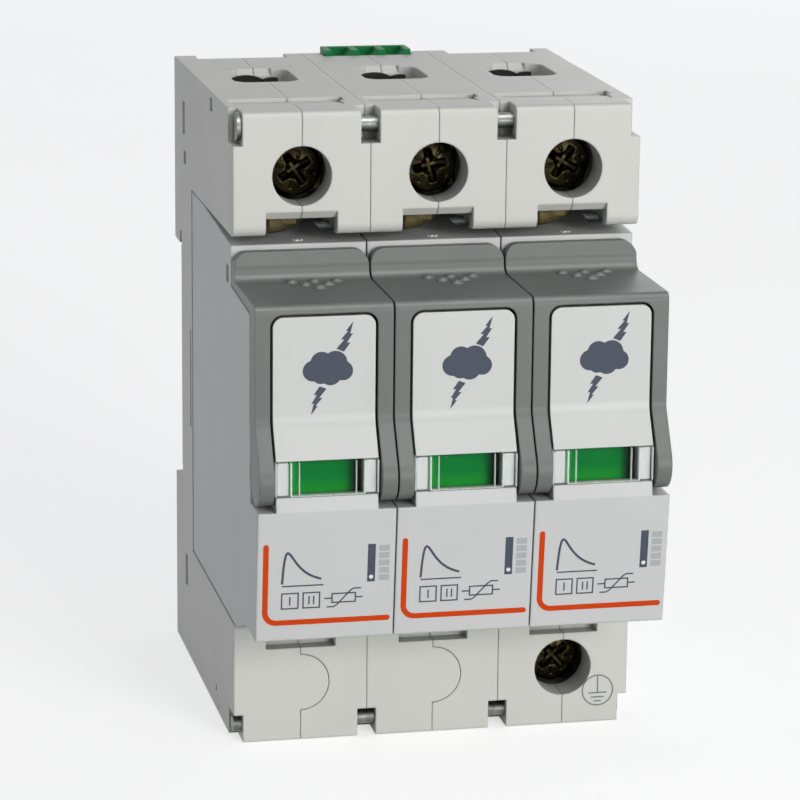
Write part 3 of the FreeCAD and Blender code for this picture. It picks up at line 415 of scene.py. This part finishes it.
def stroke(path, width, closed=False, high=INK):
    """A line of even width as a flat ring of four points per path point: the path moved to
    each side by half the width along the mitred normal, once at the sunk depth and once at
    its height."""
    path = np.asarray(path, float)
    step = np.roll(path, -1, 0) - path
    step = step / np.maximum(np.linalg.norm(step, axis=1, keepdims=True), 1e-9)
    before, after = np.roll(step, 1, 0), step.copy()
    if not closed:
        before[0] = after[0]
        after[-1] = before[-1]
    side = np.stack([-(before + after)[:, 1], (before + after)[:, 0]], 1)
    side /= np.linalg.norm(side, axis=1, keepdims=True)
    normal = np.stack([-after[:, 1], after[:, 0]], 1)
    mitre = 1 / np.maximum((side * normal).sum(1, keepdims=True), SHARPEST)
    offset = side * mitre * width / 2
    level = np.ones((len(path), 1))
    ring = [np.hstack([path + offset, high * level]), np.hstack([path - offset, high * level]),
            np.hstack([path - offset, -SUNK * level]), np.hstack([path + offset, -SUNK * level])]
    points = np.stack(ring, 1)
    if closed:
        points = np.concatenate([points, points[:1]])
    faces = grid_faces(len(points), 4)
    if not closed:
        last = 4 * (len(points) - 1)
        faces += [[3, 2, 1, 0], [last, last + 1, last + 2, last + 3]]
    return points.reshape(-1, 3), faces


def patch(outline, low=-SUNK, high=INK):
    """A filled outline: its points at two levels, a face on each and quads between them."""
    outline = np.asarray(outline, float)
    count = len(outline)
    level = np.ones((count, 1))
    points = np.vstack([np.hstack([outline, low * level]), np.hstack([outline, high * level])])
    top = list(range(count, 2 * count))
    return points, grid_faces(2, count) + [top, list(range(count))[::-1]]


def arc(centre, radius, start, end, count):
    """Points of an arc, from one angle to another in degrees."""
    turn = np.radians(np.linspace(start, end, count))
    return np.stack([centre[0] + radius * np.cos(turn), centre[1] + radius * np.sin(turn)], 1)


def rectangle(left, right, low, high):
    """Outline of a rectangle, anticlockwise."""
    return [(left, low), (right, low), (right, high), (left, high)]


def rounded_box(across, up, radius, count=6):
    """Outline of a rectangle with round corners of count points each, anticlockwise."""
    corners = [(across[1] - radius, up[1] - radius, 0), (across[0] + radius, up[1] - radius, 90),
               (across[0] + radius, up[0] + radius, 180), (across[1] - radius, up[0] + radius, 270)]
    return np.vstack([arc((x, y), radius, turn, turn + 90, count) for x, y, turn in corners])


def laid(shape, origin, across, up):
    """A flat shape placed on a plane: origin plus its numbers along two directions and
    their normal, which points to the side the shape is seen from."""
    points, faces = shape
    across, up = (np.asarray(v, float) / np.linalg.norm(v) for v in (across, up))
    out = np.cross(across, up)
    return np.asarray(origin, float) + points @ np.stack([across, up, out]), faces


# Print on the nose, as far from the pole's left edge and up from the nose's top edge

NOSE_TOP = (-62.15, -6.1)         # y and z of the nose's front at its top edge, mm
NOSE_FOOT = (-60.3, -23.3)
ACCENT = 0.72                     # width of the orange line
ACCENT_TOP = (1.18, -4.5)
ACCENT_END = (16.9, -14.85)
ACCENT_CORNER = 1.5
THIN = 0.18                       # width of the slate lines
PULSE_LINE = 0.3
PULSE_START = (3.3, -9.6)
PULSE_SIZE = (5.0, 4.2)
PULSE_FALL, PULSE_RISE = 2.6, 16  # how fast the surge fades and how fast it comes up
TALLY = (-12.5, -11.35)           # foot and top of the upright marks
SCALE_SPAN = (15.65, 17.0)
SCALE_FEET = np.arange(-9.7, -4.9, 1.0)
SCALE_BLOCK = 0.8
DOT = (14.7, -9.15)
DOT_RADIUS = 0.27


def on_nose(shape, pole):
    """Places a shape drawn from the pole's left edge and the nose's top edge."""
    up = (0, NOSE_TOP[0] - NOSE_FOOT[0], NOSE_TOP[1] - NOSE_FOOT[1])
    return laid(shape, (pole_left[pole], *NOSE_TOP), ACROSS, up)


bend_middle = (ACCENT_TOP[0] + ACCENT_CORNER, ACCENT_END[1] + ACCENT_CORNER)
accent_path = np.vstack([[ACCENT_TOP], arc(bend_middle, ACCENT_CORNER, 180, 270, BEND),
                         [ACCENT_END]])
accent_ends = [arc(ACCENT_TOP, ACCENT / 2, 0, 180, BEND),
               arc(ACCENT_END, ACCENT / 2, -90, 90, BEND)]
orange_print = joined([stroke(accent_path, ACCENT)] + [patch(end) for end in accent_ends])

time_steps = np.linspace(0, 1, 40)
surge = np.exp(-PULSE_FALL * time_steps) - np.exp(-PULSE_RISE * time_steps)
pulse = np.stack([PULSE_START[0] + PULSE_SIZE[0] * time_steps,
                  PULSE_START[1] + PULSE_SIZE[1] * surge / surge.max()], 1)
code_bar = rectangle(14.2, 15.2, -9.8, -4.7)
frames = [rectangle(3.3, 5.4, -12.95, -10.9), rectangle(6.05, 8.15, -12.95, -10.9),
          rectangle(9.75, 12.75, -12.4, -11.2)]
lines = [[(3.3, -9.9), (8.6, -9.9)]] + [[(x, TALLY[0]), (x, TALLY[1])] for x in (4.35, 6.8, 7.4)]
lines += [[(8.75, -11.8), (9.75, -11.8)], [(12.75, -11.8), (13.7, -11.8)]]
lines.append([(9.1, -12.98), (9.95, -12.98), (10.35, -12.75), (12.1, -10.85), (12.5, -10.58),
              (13.45, -10.58)])
slate_print = joined([stroke(pulse, PULSE_LINE), patch(code_bar)]
                     + [stroke(outline, THIN, True) for outline in frames]
                     + [stroke(line, THIN) for line in lines])
pale_print = joined([patch(rectangle(*SCALE_SPAN, low, low + SCALE_BLOCK)) for low in SCALE_FEET])
dot_print = patch(arc(DOT, DOT_RADIUS, 0, 345, 24), 0, INK * 2)

for pole in POLES:
    for label, shape, finish in (("accent", orange_print, orange_ink),
                                 ("symbols", slate_print, slate_ink),
                                 ("scale", pale_print, pale_ink), ("dot", dot_print, white_ink)):
        add_piece("nose_%s_%d" % (label, pole), on_nose(shape, pole), finish,
                  "cartridge_%d" % pole)


# Pictogram on the label panel: a cloud of overlapping lobes with a bolt on each side

PANEL_FRONT = -59.5               # y of the panel's upright part, mm
CLOUD = (9.3, 11.6)               # middle of the cloud from the pole's left edge, and its z
LOBES = [(-1.75, -0.25, 1.3), (-0.75, 0.75, 1.35), (0.95, 0.65, 1.5), (1.95, -0.35, 1.2),
         (0.4, -0.75, 1.35), (-0.8, -0.8, 1.1)]           # middle and radius of each
CLOUD_SCALE = 1.03
BOLT_STEPS = [(0, 0.52), (0.36, 0.08), (0.33, 0.46), (0.66, 0.02), (0.63, 0.3), (1, -0.1),
              (0.6, -0.3), (0.64, -0.58), (0.3, -0.34), (0.34, -0.72), (0, -0.42)]
BOLTS = [((1.65, 2.25), (3.15, 5.95), 1.1), ((-0.6, -2.4), (-2.0, -5.95), 1.0)]


def cloud_outline(count=120):
    """Outline of a cloud: in each direction from the middle the farthest crossing of the
    ray with any of the lobes' circles."""
    lobes = np.array(LOBES)
    turn = np.linspace(0, 2 * np.pi, count, endpoint=False)
    way = np.stack([np.cos(turn), np.sin(turn)], 1)
    along = way @ lobes[:, :2].T
    inside = lobes[:, 2] ** 2 - (lobes[:, :2] ** 2).sum(1) + along ** 2
    reach = np.where(inside > 0, along + np.sqrt(np.maximum(inside, 0)), 0).max(1)
    return way * reach[:, None] * CLOUD_SCALE


def bolt(root, tip, width):
    """A bolt in two leaning steps, anticlockwise: each corner is a share of its length along
    the line from root to tip and a share of its width beside that line."""
    steps = np.array(BOLT_STEPS)
    root, tip = np.array(root), np.array(tip)
    along = tip - root
    beside = np.array([-along[1], along[0]]) / np.linalg.norm(along)
    return (root + steps[:, :1] * along + steps[:, 1:] * width * beside)[::-1]


pictogram = joined([patch(cloud_outline())] + [patch(bolt(*corners)) for corners in BOLTS])
for pole in POLES:
    middle = (pole_left[pole] + CLOUD[0], PANEL_FRONT, CLOUD[1])
    add_piece("panel_pictogram_%d" % pole, laid(pictogram, middle, ACROSS, UP), slate_ink,
              "cartridge_%d" % pole)


# Grip bumps on the handle's shelf

SHELF = 19.7                      # z of the shelf, mm
GRIPS = [(7.3, -45.9), (10.2, -45.9), (13.1, -45.9), (8.75, -47.8), (11.65, -47.8), (10.2, -49.7)]
GRIP_HALF = (0.95, 0.75)
GRIP_HEIGHT = 0.56
GRIP_SUNK = 0.03


def dome(x, y, z, half_x, half_y, height, rings=7, count=24):
    """Low dome: its height falls from the middle as the cosine of the distance to the rim."""
    out = np.linspace(0, 1, rings)[1:]
    turn = np.linspace(0, 2 * np.pi, count, endpoint=False)
    far, angle = np.meshgrid(out, turn, indexing="ij")
    points = np.stack([x + half_x * far * np.cos(angle), y + half_y * far * np.sin(angle),
                       z + height * np.cos(far * np.pi / 2)], -1).reshape(-1, 3)
    points = np.vstack([points, [(x, y, z + height)]])
    tip = len(points) - 1
    faces = [quad[::-1] for quad in grid_faces(rings - 1, count)]
    faces += [[tip, column, (column + 1) % count] for column in range(count)]
    faces.append([(rings - 2) * count + column for column in range(count)][::-1])
    return points, faces


for pole in POLES:
    domes = [dome(pole_left[pole] + x, y, SHELF - GRIP_SUNK, *GRIP_HALF, GRIP_HEIGHT)
             for x, y in GRIPS]
    add_piece("handle_grips_%d" % pole, joined(domes), finishes["handle_plastic"],
              "handle_%d" % pole, True)


# Sign of the protective earth, beside the earth terminal

SIGN = (49.4, -37.97)             # middle from the device's left edge, and its z
SIGN_RADIUS = 2.1
SIGN_LINE = 0.17
SIGN_POINTS = 48                  # of its ring
SIGN_BARS = [[(0, 1.95), (0, -0.35)], [(-1.25, -0.35), (1.25, -0.35)],
             [(-0.9, -0.95), (0.9, -0.95)], [(-0.5, -1.5), (0.5, -1.5)]]
LOWER_FRONT = -44.0               # y of the housing's front, mm

ring_end = 360 - 360 / SIGN_POINTS
sign = joined([stroke(arc((0, 0), SIGN_RADIUS, 0, ring_end, SIGN_POINTS), SIGN_LINE, True)]
              + [stroke(line, SIGN_LINE) for line in SIGN_BARS])
sign_middle = (pole_left[1] + SIGN[0], LOWER_FRONT, SIGN[1])
add_piece("earth_sign", laid(sign, sign_middle, ACROSS, UP), sign_ink,
          "housing")


# Clamping screws

SCREW_TURNS = {"line_1": 32, "line_2": 12, "line_3": 58, "earth": 40}   # in degrees
HEAD_RADIUS = 3.6
HEAD_HEIGHT = 1.6
HEAD_ROUND = 0.6                  # radius of the head's rim
SHANK_RADIUS = 2.4
CROWN = 0.4                       # how much lower the rim lies than the middle of the face
RECESS_REACH = 2.35               # arms of the cross recess
RECESS_HALF = 0.62
RECESS_DEPTH = 1.2
ARM_FLANK = 0.42                  # how wide the slope beside an arm is
ARM_RISE = 1.5                    # length over which an arm runs out
ARM_CURVE = 0.7                   # power of that way: under 1 it bulges
DISH_REACH = 1.5                  # round dish in the middle
DISH_SLOPE = 0.9
DISH_DEPTH = 0.5
NICK_REACH = (1.5, 2.6)           # the four nicks between the arms
NICK_HALF = 0.12
NICK_DEPTH = 0.14
THREAD_PITCH = 0.8
THREAD_DEPTH = 0.35
THREAD_ROWS = 8                   # rows of points to each turn of the thread
FACE_ROWS = 36
FACE_START = 0.08                 # radius of the face's innermost row
RIM_ROWS = 8


def eased(value):
    """Smooth step: 3t^2 - 2t^3 of a value held between 0 and 1."""
    held = np.clip(value, 0, 1)
    return held * held * (3 - 2 * held)


def recess(x, z):
    """Depth of a cross recess: each arm is deepest in the middle and runs out to its end,
    its flanks slope, the middle is a round dish; shallow nicks lie on the diagonals."""
    depth = DISH_DEPTH * eased((DISH_REACH - np.hypot(x, z)) / DISH_SLOPE)
    for u, v in ((x, z), (z, x)):
        rise = np.clip((RECESS_REACH - np.abs(u)) / ARM_RISE, 0, 1) ** ARM_CURVE
        arm = eased((RECESS_HALF - np.abs(v)) / ARM_FLANK) * rise
        depth = np.maximum(depth, RECESS_DEPTH * arm)
    for u, v in ((x + z, x - z), (x - z, x + z)):
        far, beside = np.abs(u) / math.sqrt(2), np.abs(v) / math.sqrt(2)
        inside = (far > NICK_REACH[0]) & (far < NICK_REACH[1])
        nick = inside * eased((NICK_HALF * 2 - beside) / NICK_HALF)
        depth = np.maximum(depth, NICK_DEPTH * nick)
    return depth


def screw(centre, face, tail, turn, count=160):
    """Screw turned about the Y direction: a face that falls off with the square of the radius
    and has the recess, a rounded rim, the head, and a shank with a thread whose radius falls
    and rises as a triangle wave of y / pitch + angle / full turn."""
    angle = np.linspace(0, 2 * np.pi, count, endpoint=False)
    flat = np.linspace(FACE_START, HEAD_RADIUS - HEAD_ROUND, FACE_ROWS)
    rim = np.linspace(0, np.pi / 2, RIM_ROWS)[1:]
    rim_radius = HEAD_RADIUS - HEAD_ROUND + HEAD_ROUND * np.sin(rim)
    rim_y = face + HEAD_ROUND * (1 - np.cos(rim))
    back = face + HEAD_HEIGHT
    shank_y = np.arange(back, tail, THREAD_PITCH / THREAD_ROWS)
    radius = np.concatenate([flat, rim_radius, [HEAD_RADIUS, SHANK_RADIUS],
                             np.full(len(shank_y), SHANK_RADIUS)])
    crown = CROWN * (flat / flat[-1]) ** 2
    y = np.concatenate([face + crown, CROWN + rim_y, [back, back], shank_y])
    radius, wave = np.meshgrid(radius, angle, indexing="ij")
    y = np.repeat(y[:, None], count, 1)
    threaded = (y > back + THREAD_PITCH) & (y < tail) & (radius <= SHANK_RADIUS)
    phase = np.abs((y / THREAD_PITCH + wave / (2 * np.pi)) % 1 - 0.5) * 2
    radius = radius - THREAD_DEPTH * phase * threaded
    x, z = radius * np.cos(wave), radius * np.sin(wave)
    skew = math.radians(turn)
    dip = recess(x * math.cos(skew) + z * math.sin(skew), z * math.cos(skew) - x * math.sin(skew))
    y = np.where(np.arange(len(y))[:, None] < len(flat), y + dip, y)
    points = np.stack([centre[0] + x, y, centre[1] + z], -1).reshape(-1, 3)
    ends = [(centre[0], face + RECESS_DEPTH, centre[1]), (centre[0], tail, centre[1])]
    first, last = len(points), len(points) + 1
    foot = (len(y) - 1) * count
    faces = [quad[::-1] for quad in grid_faces(len(y), count)]
    faces += [[first, column, (column + 1) % count] for column in range(count)]
    faces += [[last, foot + (column + 1) % count, foot + column] for column in range(count)]
    return np.vstack([points, ends]), faces


for label, turn in SCREW_TURNS.items():
    low, high = (np.array(corner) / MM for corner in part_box(label + "_screw"))
    middle = (low + high) / 2
    body = "line_screw_" + label[-1] if label[-1].isdigit() else "earth_screw"
    piece = add_piece("clamp_screw_" + label, screw((middle[0], middle[2]), low[1], high[1], turn),
                      finishes["screw_steel"], body, True)
    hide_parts(label + "_screw")


# Ribs of the clear lens, painted white and glowing as a painted highlight, and the white pads
# behind it

RIBS = [(2.4, 0.16), (4.33, 0.2), (5.38, 0.08), (12.62, 0.08), (13.68, 0.18), (15.4, 0.16)]
RIB_FRONT = 0.2                   # the ribs' middle behind the lens's front
RIB_BACK = 0.5                    # how deep a rib lies in the lens
RIB_END = 0.1                     # from the lens's top and foot
FOOT_RIB = (4.3, 13.7)
FOOT_RIB_WIDTH = 0.06
RIB_SIZES = ((0, 0.33), (0.03, 1), (0.5, 1), (0.97, 1), (1, 0.33))   # share of the way, scale
PADS = [(2.62, 4.08), (13.86, 15.2)]
PAD_BACK = 0.75                   # the white pads' faces behind the lens's front
PAD_ENDS = (0.12, 0.22)           # from the lens's foot and top
PAD_CORNER = 0.2
PAD_THICKNESS = 0.25


def rib(start, end, width, depth):
    """Bar with a half-round front, its section carried from start to end and drawn in to
    a third at both ends."""
    start, end = np.array(start, float), np.array(end, float)
    run = end - start
    side = np.array([run[2], 0, -run[0]]) / np.linalg.norm(run)
    turn = np.linspace(np.pi, 0, 9)
    section = np.vstack([np.stack([np.cos(turn) * width / 2, -np.sin(turn) * width / 2], 1),
                         [(width / 2, depth), (-width / 2, depth)]])
    rows = [start + run * along + section[:, :1] * scale * side + section[:, 1:] * (0, 1, 0)
            for along, scale in RIB_SIZES]
    count = len(section)
    last = count * (len(rows) - 1)
    ends = [list(range(count))[::-1], [last + corner for corner in range(count)]]
    return np.concatenate(rows), grid_faces(len(rows), count) + ends


lens_rib_glow = painted_glow_rib("lens ribs")
pad_white = moulded("lens pads", paint(222, 226, 226), paint(212, 217, 217), paint(238, 240, 240),
                    gloss=0.2, pocket_shade=0)
for pole in POLES:
    low, high = (np.array(corner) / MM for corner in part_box("cartridge_%d_lens" % pole))
    left, front = pole_left[pole], low[1] + RIB_FRONT
    foot, top = low[2] + RIB_END, high[2] - RIB_END
    bars = [rib((left + x, front, foot), (left + x, front, top), width, RIB_BACK)
            for x, width in RIBS]
    bars.append(rib((left + FOOT_RIB[0], front, foot), (left + FOOT_RIB[1], front, foot),
                    FOOT_RIB_WIDTH, RIB_BACK))
    add_piece("lens_ribs_%d" % pole, joined(bars), lens_rib_glow, "cartridge_%d" % pole,
              True)
    heights = (low[2] + PAD_ENDS[0], high[2] - PAD_ENDS[1])
    plates = joined([patch(rounded_box(span, heights, PAD_CORNER), -PAD_THICKNESS, 0)
                     for span in PADS])
    add_piece("lens_pads_%d" % pole, laid(plates, (left, low[1] + PAD_BACK, 0), ACROSS, UP),
              pad_white, "cartridge_%d" % pole)


# Chevron on the cartridge's top, painted shade in the wire entries, contact lips in the head
# windows

CHEVRON = (9.1, -40.1)            # from the pole's left edge, and y
CHEVRON_PATH = [(-0.6, 0.3), (-0.3, -0.2), (0.0, 0.2), (0.3, -0.2), (0.6, 0.3)]
CHEVRON_LINE = 0.17
CHEVRON_HEIGHT = 0.16
TOP_FLAT = (-20.0, 25.0)          # y and z where the cartridge's top starts to droop
TOP_FRONT = (-41.7, 23.9)
SHADE_SHEET_Y = -8.25                   # front of the painted-shade sheet at the rear wall of the wire entry
SHADE_SHEET_ARCS = [(7.7, 3.1, 40.65), (11.4, 2.1, 40.3)]   # middle, half width and top of each arch
SHADE_SHEET_FOOT = 36.0
SHADE_SHEET_THICKNESS = 0.2
ARCH_RISE = 0.55                  # height of an arch's crown as a share of its half width
LIP_SPAN = (4.75, 10.2)           # of the contact's lip from the pole's left edge
LIP_Z = (25.5, 27.6)
LIP_Y = -42.3
LIP_CROWN = 0.25
LIP_RISE = 1.3
LIP_SWEEP = 3.0
LIP_THICKNESS = 0.3
LIP_POINTS = (14, 10)             # along and up
CATCH_SPAN = (11.2, 13.2)
CATCH_Z = (25.5, 26.8)
CATCH_Y = -41.7
CATCH_LEAN = -0.9
CATCH_CROWN = 0.3


def sheet(outline, thickness):
    """Bent sheet from rows of (x, y, z) points: the rows once as they are and once moved back
    by the thickness, joined around the rim."""
    front = np.asarray(outline, float)
    rows, columns = front.shape[:2]
    back = front + (0, thickness, 0)
    points = np.concatenate([front.reshape(-1, 3), back.reshape(-1, 3)])
    faces = grid_faces(rows, columns, False)
    shift = rows * columns
    faces += [[corner + shift for corner in quad[::-1]] for quad in faces]
    rim = [(0, c) for c in range(columns)] + [(r, columns - 1) for r in range(1, rows)]
    rim += [(rows - 1, c) for c in range(columns - 2, -1, -1)]
    rim += [(r, 0) for r in range(rows - 2, 0, -1)]
    edge = [row * columns + column for row, column in rim]
    after = edge[1:] + edge[:1]
    faces += [[b, a, a + shift, b + shift] for a, b in zip(edge, after)]
    return points, faces


def lip(span, heights, y, crown, lean=0.0, rise=0.0, sweep=0.0):
    """Sheet that stands upright, bulges to the front by the crown as a half sine wave of its
    height and leans sideways by lean from foot to top; towards its right end the foot rises
    and the sheet sweeps back, both with the square of the way along it."""
    along, up = np.meshgrid(*(np.linspace(0, 1, count) for count in LIP_POINTS))
    foot = heights[0] + rise * along ** 2
    x = span[0] + along * (span[1] - span[0]) + lean * (up - 0.5)
    back = y + sweep * along ** 2 - crown * np.sin(up * np.pi)
    return sheet(np.stack([x, back, foot + up * (heights[1] - foot)], -1), LIP_THICKNESS)


def arch(middle, half, top, foot, count=28):
    """Flat arch: upright sides under half an ellipse."""
    turn = np.linspace(0, np.pi, count)
    height = top - half * ARCH_RISE * (1 - np.sin(turn))
    crown = np.stack([middle + half * np.cos(turn), height], 1)
    return np.vstack([crown, [(middle - half, foot), (middle + half, foot)]])


catch_steel = metal("blued catch", paint(98, 103, 105), paint(60, 64, 66), gloss=0.45)
# painted shade: a dark sheet at the back of each wire entry stands in for the shade deep inside it
entry_shade_black = moulded("painted entry shade", paint(34, 34, 31), paint(26, 26, 24), paint(70, 70, 66),
                      gloss=0.45)
chevron = stroke(CHEVRON_PATH, CHEVRON_LINE, high=CHEVRON_HEIGHT)
shade_sheet = joined([patch(arch(*sizes, SHADE_SHEET_FOOT), -SHADE_SHEET_THICKNESS, 0) for sizes in SHADE_SHEET_ARCS])
slope = np.array(TOP_FLAT) - np.array(TOP_FRONT)
chevron_z = TOP_FRONT[1] + (CHEVRON[1] - TOP_FRONT[0]) / slope[0] * slope[1]
for pole in POLES:
    left = pole_left[pole]
    middle = (left + CHEVRON[0], CHEVRON[1], chevron_z)
    add_piece("top_chevron_%d" % pole, laid(chevron, middle, ACROSS, (0, *slope)), white_ink,
              "cartridge_%d" % pole)
    # painted shade: the dark arched sheets inside each wire entry
    add_piece("entry_shade_sheet_%d" % pole, laid(shade_sheet, (left, SHADE_SHEET_Y, 0), ACROSS, UP), entry_shade_black,
              "housing")
    contact_lip = lip((left + LIP_SPAN[0], left + LIP_SPAN[1]), LIP_Z, LIP_Y, LIP_CROWN,
                      rise=LIP_RISE, sweep=LIP_SWEEP)
    add_piece("contact_lip_%d" % pole, contact_lip, finishes["contact_brass"],
              "housing", True)
    catch = lip((left + CATCH_SPAN[0], left + CATCH_SPAN[1]), CATCH_Z, CATCH_Y, CATCH_CROWN,
                lean=CATCH_LEAN)
    add_piece("contact_catch_%d" % pole, catch, catch_steel, "housing", True)


# Camera

CAMERA_PLACE = (-99.9, -484.3, 114.4)
CAMERA_RIGHT = (0.97791, -0.20881, 0.00966)
CAMERA_UP = (0.04086, 0.23624, 0.97084)
FOCAL_PIXELS = 3574               # focal length in pixels of the picture
PICTURE_PIXELS = 800
SENSOR = 36.0
CLIP = (0.02, 20.0)               # nearest and farthest that it sees, m


def turned(right, up, back, place):
    """A placement from three unit directions and a place in metres, as Blender's rows."""
    matrix = np.eye(4)
    matrix[:3, :3] = np.stack([right, up, back], 1)
    matrix[:3, 3] = place
    return matrix.T.tolist()


right, up = (np.array(v) / np.linalg.norm(v) for v in (CAMERA_RIGHT, CAMERA_UP))
camera = bpy.data.objects.new("camera", bpy.data.cameras.new("camera"))
camera.data.sensor_width = SENSOR
camera.data.lens = FOCAL_PIXELS / PICTURE_PIXELS * SENSOR
camera.data.clip_start, camera.data.clip_end = CLIP
camera.matrix_world = turned(right, up, np.cross(right, up), np.array(CAMERA_PLACE) * MM)
bpy.context.scene.collection.objects.link(camera)
bpy.context.scene.camera = camera


# Light and stage

SKY = 0.31                        # level of the light from all round
SKY_TINT = (0.965, 0.98, 1.04, 1)
WHITE = (1, 1, 1, 1)
FLOOR = -42.4                     # z of the floor, mm
FLOOR_REACH = 4.0                 # from the middle to each side, m
FLOOR_TONES = ((0.60, 0.60, 0.60, 1), (0.57, 0.57, 0.57, 1))
FLOOR_GLOW = 0.64                 # so that the camera sees it nearly white


def lamp(name, direction, distance, size, watts, tint=(1, 1, 1), matte=True, gloss=True):
    """Square soft lamp at a distance in metres, facing the device. It gives matte light,
    gloss or both: gloss alone draws the bright lines along rounded edges."""
    light = bpy.data.lights.new(name, "AREA")
    light.shape = "SQUARE"
    light.size = size
    light.energy = watts
    light.color = tint
    holder = bpy.data.objects.new(name, light)
    way = np.array(direction, float) / np.linalg.norm(direction)
    across = np.cross(UP, way)
    across /= np.linalg.norm(across)
    holder.matrix_world = turned(across, np.cross(way, across), way, way * distance)
    holder.visible_diffuse = matte
    holder.visible_glossy = gloss
    bpy.context.scene.collection.objects.link(holder)


lamp("front lamp", (0.36, -1.0, 0.24), 1.1, 0.5, 7.8, (1.0, 0.995, 0.965), gloss=False)
lamp("front sheen", (0.36, -1.0, -0.1), 1.1, 0.5, 7.8, matte=False)
lamp("side lamp", (-1.0, -0.3, 0.9), 1.3, 0.6, 0.08)
lamp("back lamp", (0.6, 1.0, 0.12), 1.3, 0.7, 2.6)
lamp("edge lamp", (0.1, -0.55, 1.0), 1.0, 0.5, 6.5, matte=False)


def seen_rays(finish):
    """1 for rays from the camera and for those that gloss or clear parts send on."""
    names = ("Is Camera Ray", "Is Glossy Ray", "Is Transmission Ray")
    seen = [finish.node("ShaderNodeLightPath", out=name) for name in names]
    return seen[0].maths("MAXIMUM", seen[1]).maths("MAXIMUM", seen[2])


studio = Finish(bpy.data.worlds.new("studio"))
bpy.context.scene.world = studio.holder
seen = seen_rays(studio)
around = {"Color": studio.mix(seen, SKY_TINT, WHITE), "Strength": seen * (1 - SKY) + SKY}
studio.close(studio.node("ShaderNodeBackground", None, around), "ShaderNodeOutputWorld")

floor_finish = new_finish("pale floor")
mottle = floor_finish.noise(floor_finish.place(), size=60.0)
tone = floor_finish.mix(mottle, *FLOOR_TONES)
matt = floor_finish.node("ShaderNodeBsdfDiffuse", None, {"Color": tone})
glow = floor_finish.node("ShaderNodeEmission", None,
                         {"Strength": seen_rays(floor_finish) * FLOOR_GLOW})
lit = floor_finish.node("ShaderNodeAddShader", None, {0: matt, 1: glow})
below = floor_finish.node("ShaderNodeNewGeometry", out="Backfacing")
clear = floor_finish.node("ShaderNodeBsdfTransparent")
floor_finish.close(floor_finish.node("ShaderNodeMixShader", None, {0: below, 1: lit, 2: clear}))

corners = [(x * FLOOR_REACH, y * FLOOR_REACH, FLOOR * MM)
           for x, y in ((-1, -1), (1, -1), (1, 1), (-1, 1))]
floor_mesh = bpy.data.meshes.new("floor")
floor_mesh.from_pydata(corners, [], [(0, 1, 2, 3)])
floor_mesh.materials.append(floor_finish.holder)
floor = bpy.data.objects.new("floor", floor_mesh)
bpy.context.scene.collection.objects.link(floor)

bpy.context.scene.view_settings.view_transform = "Standard"
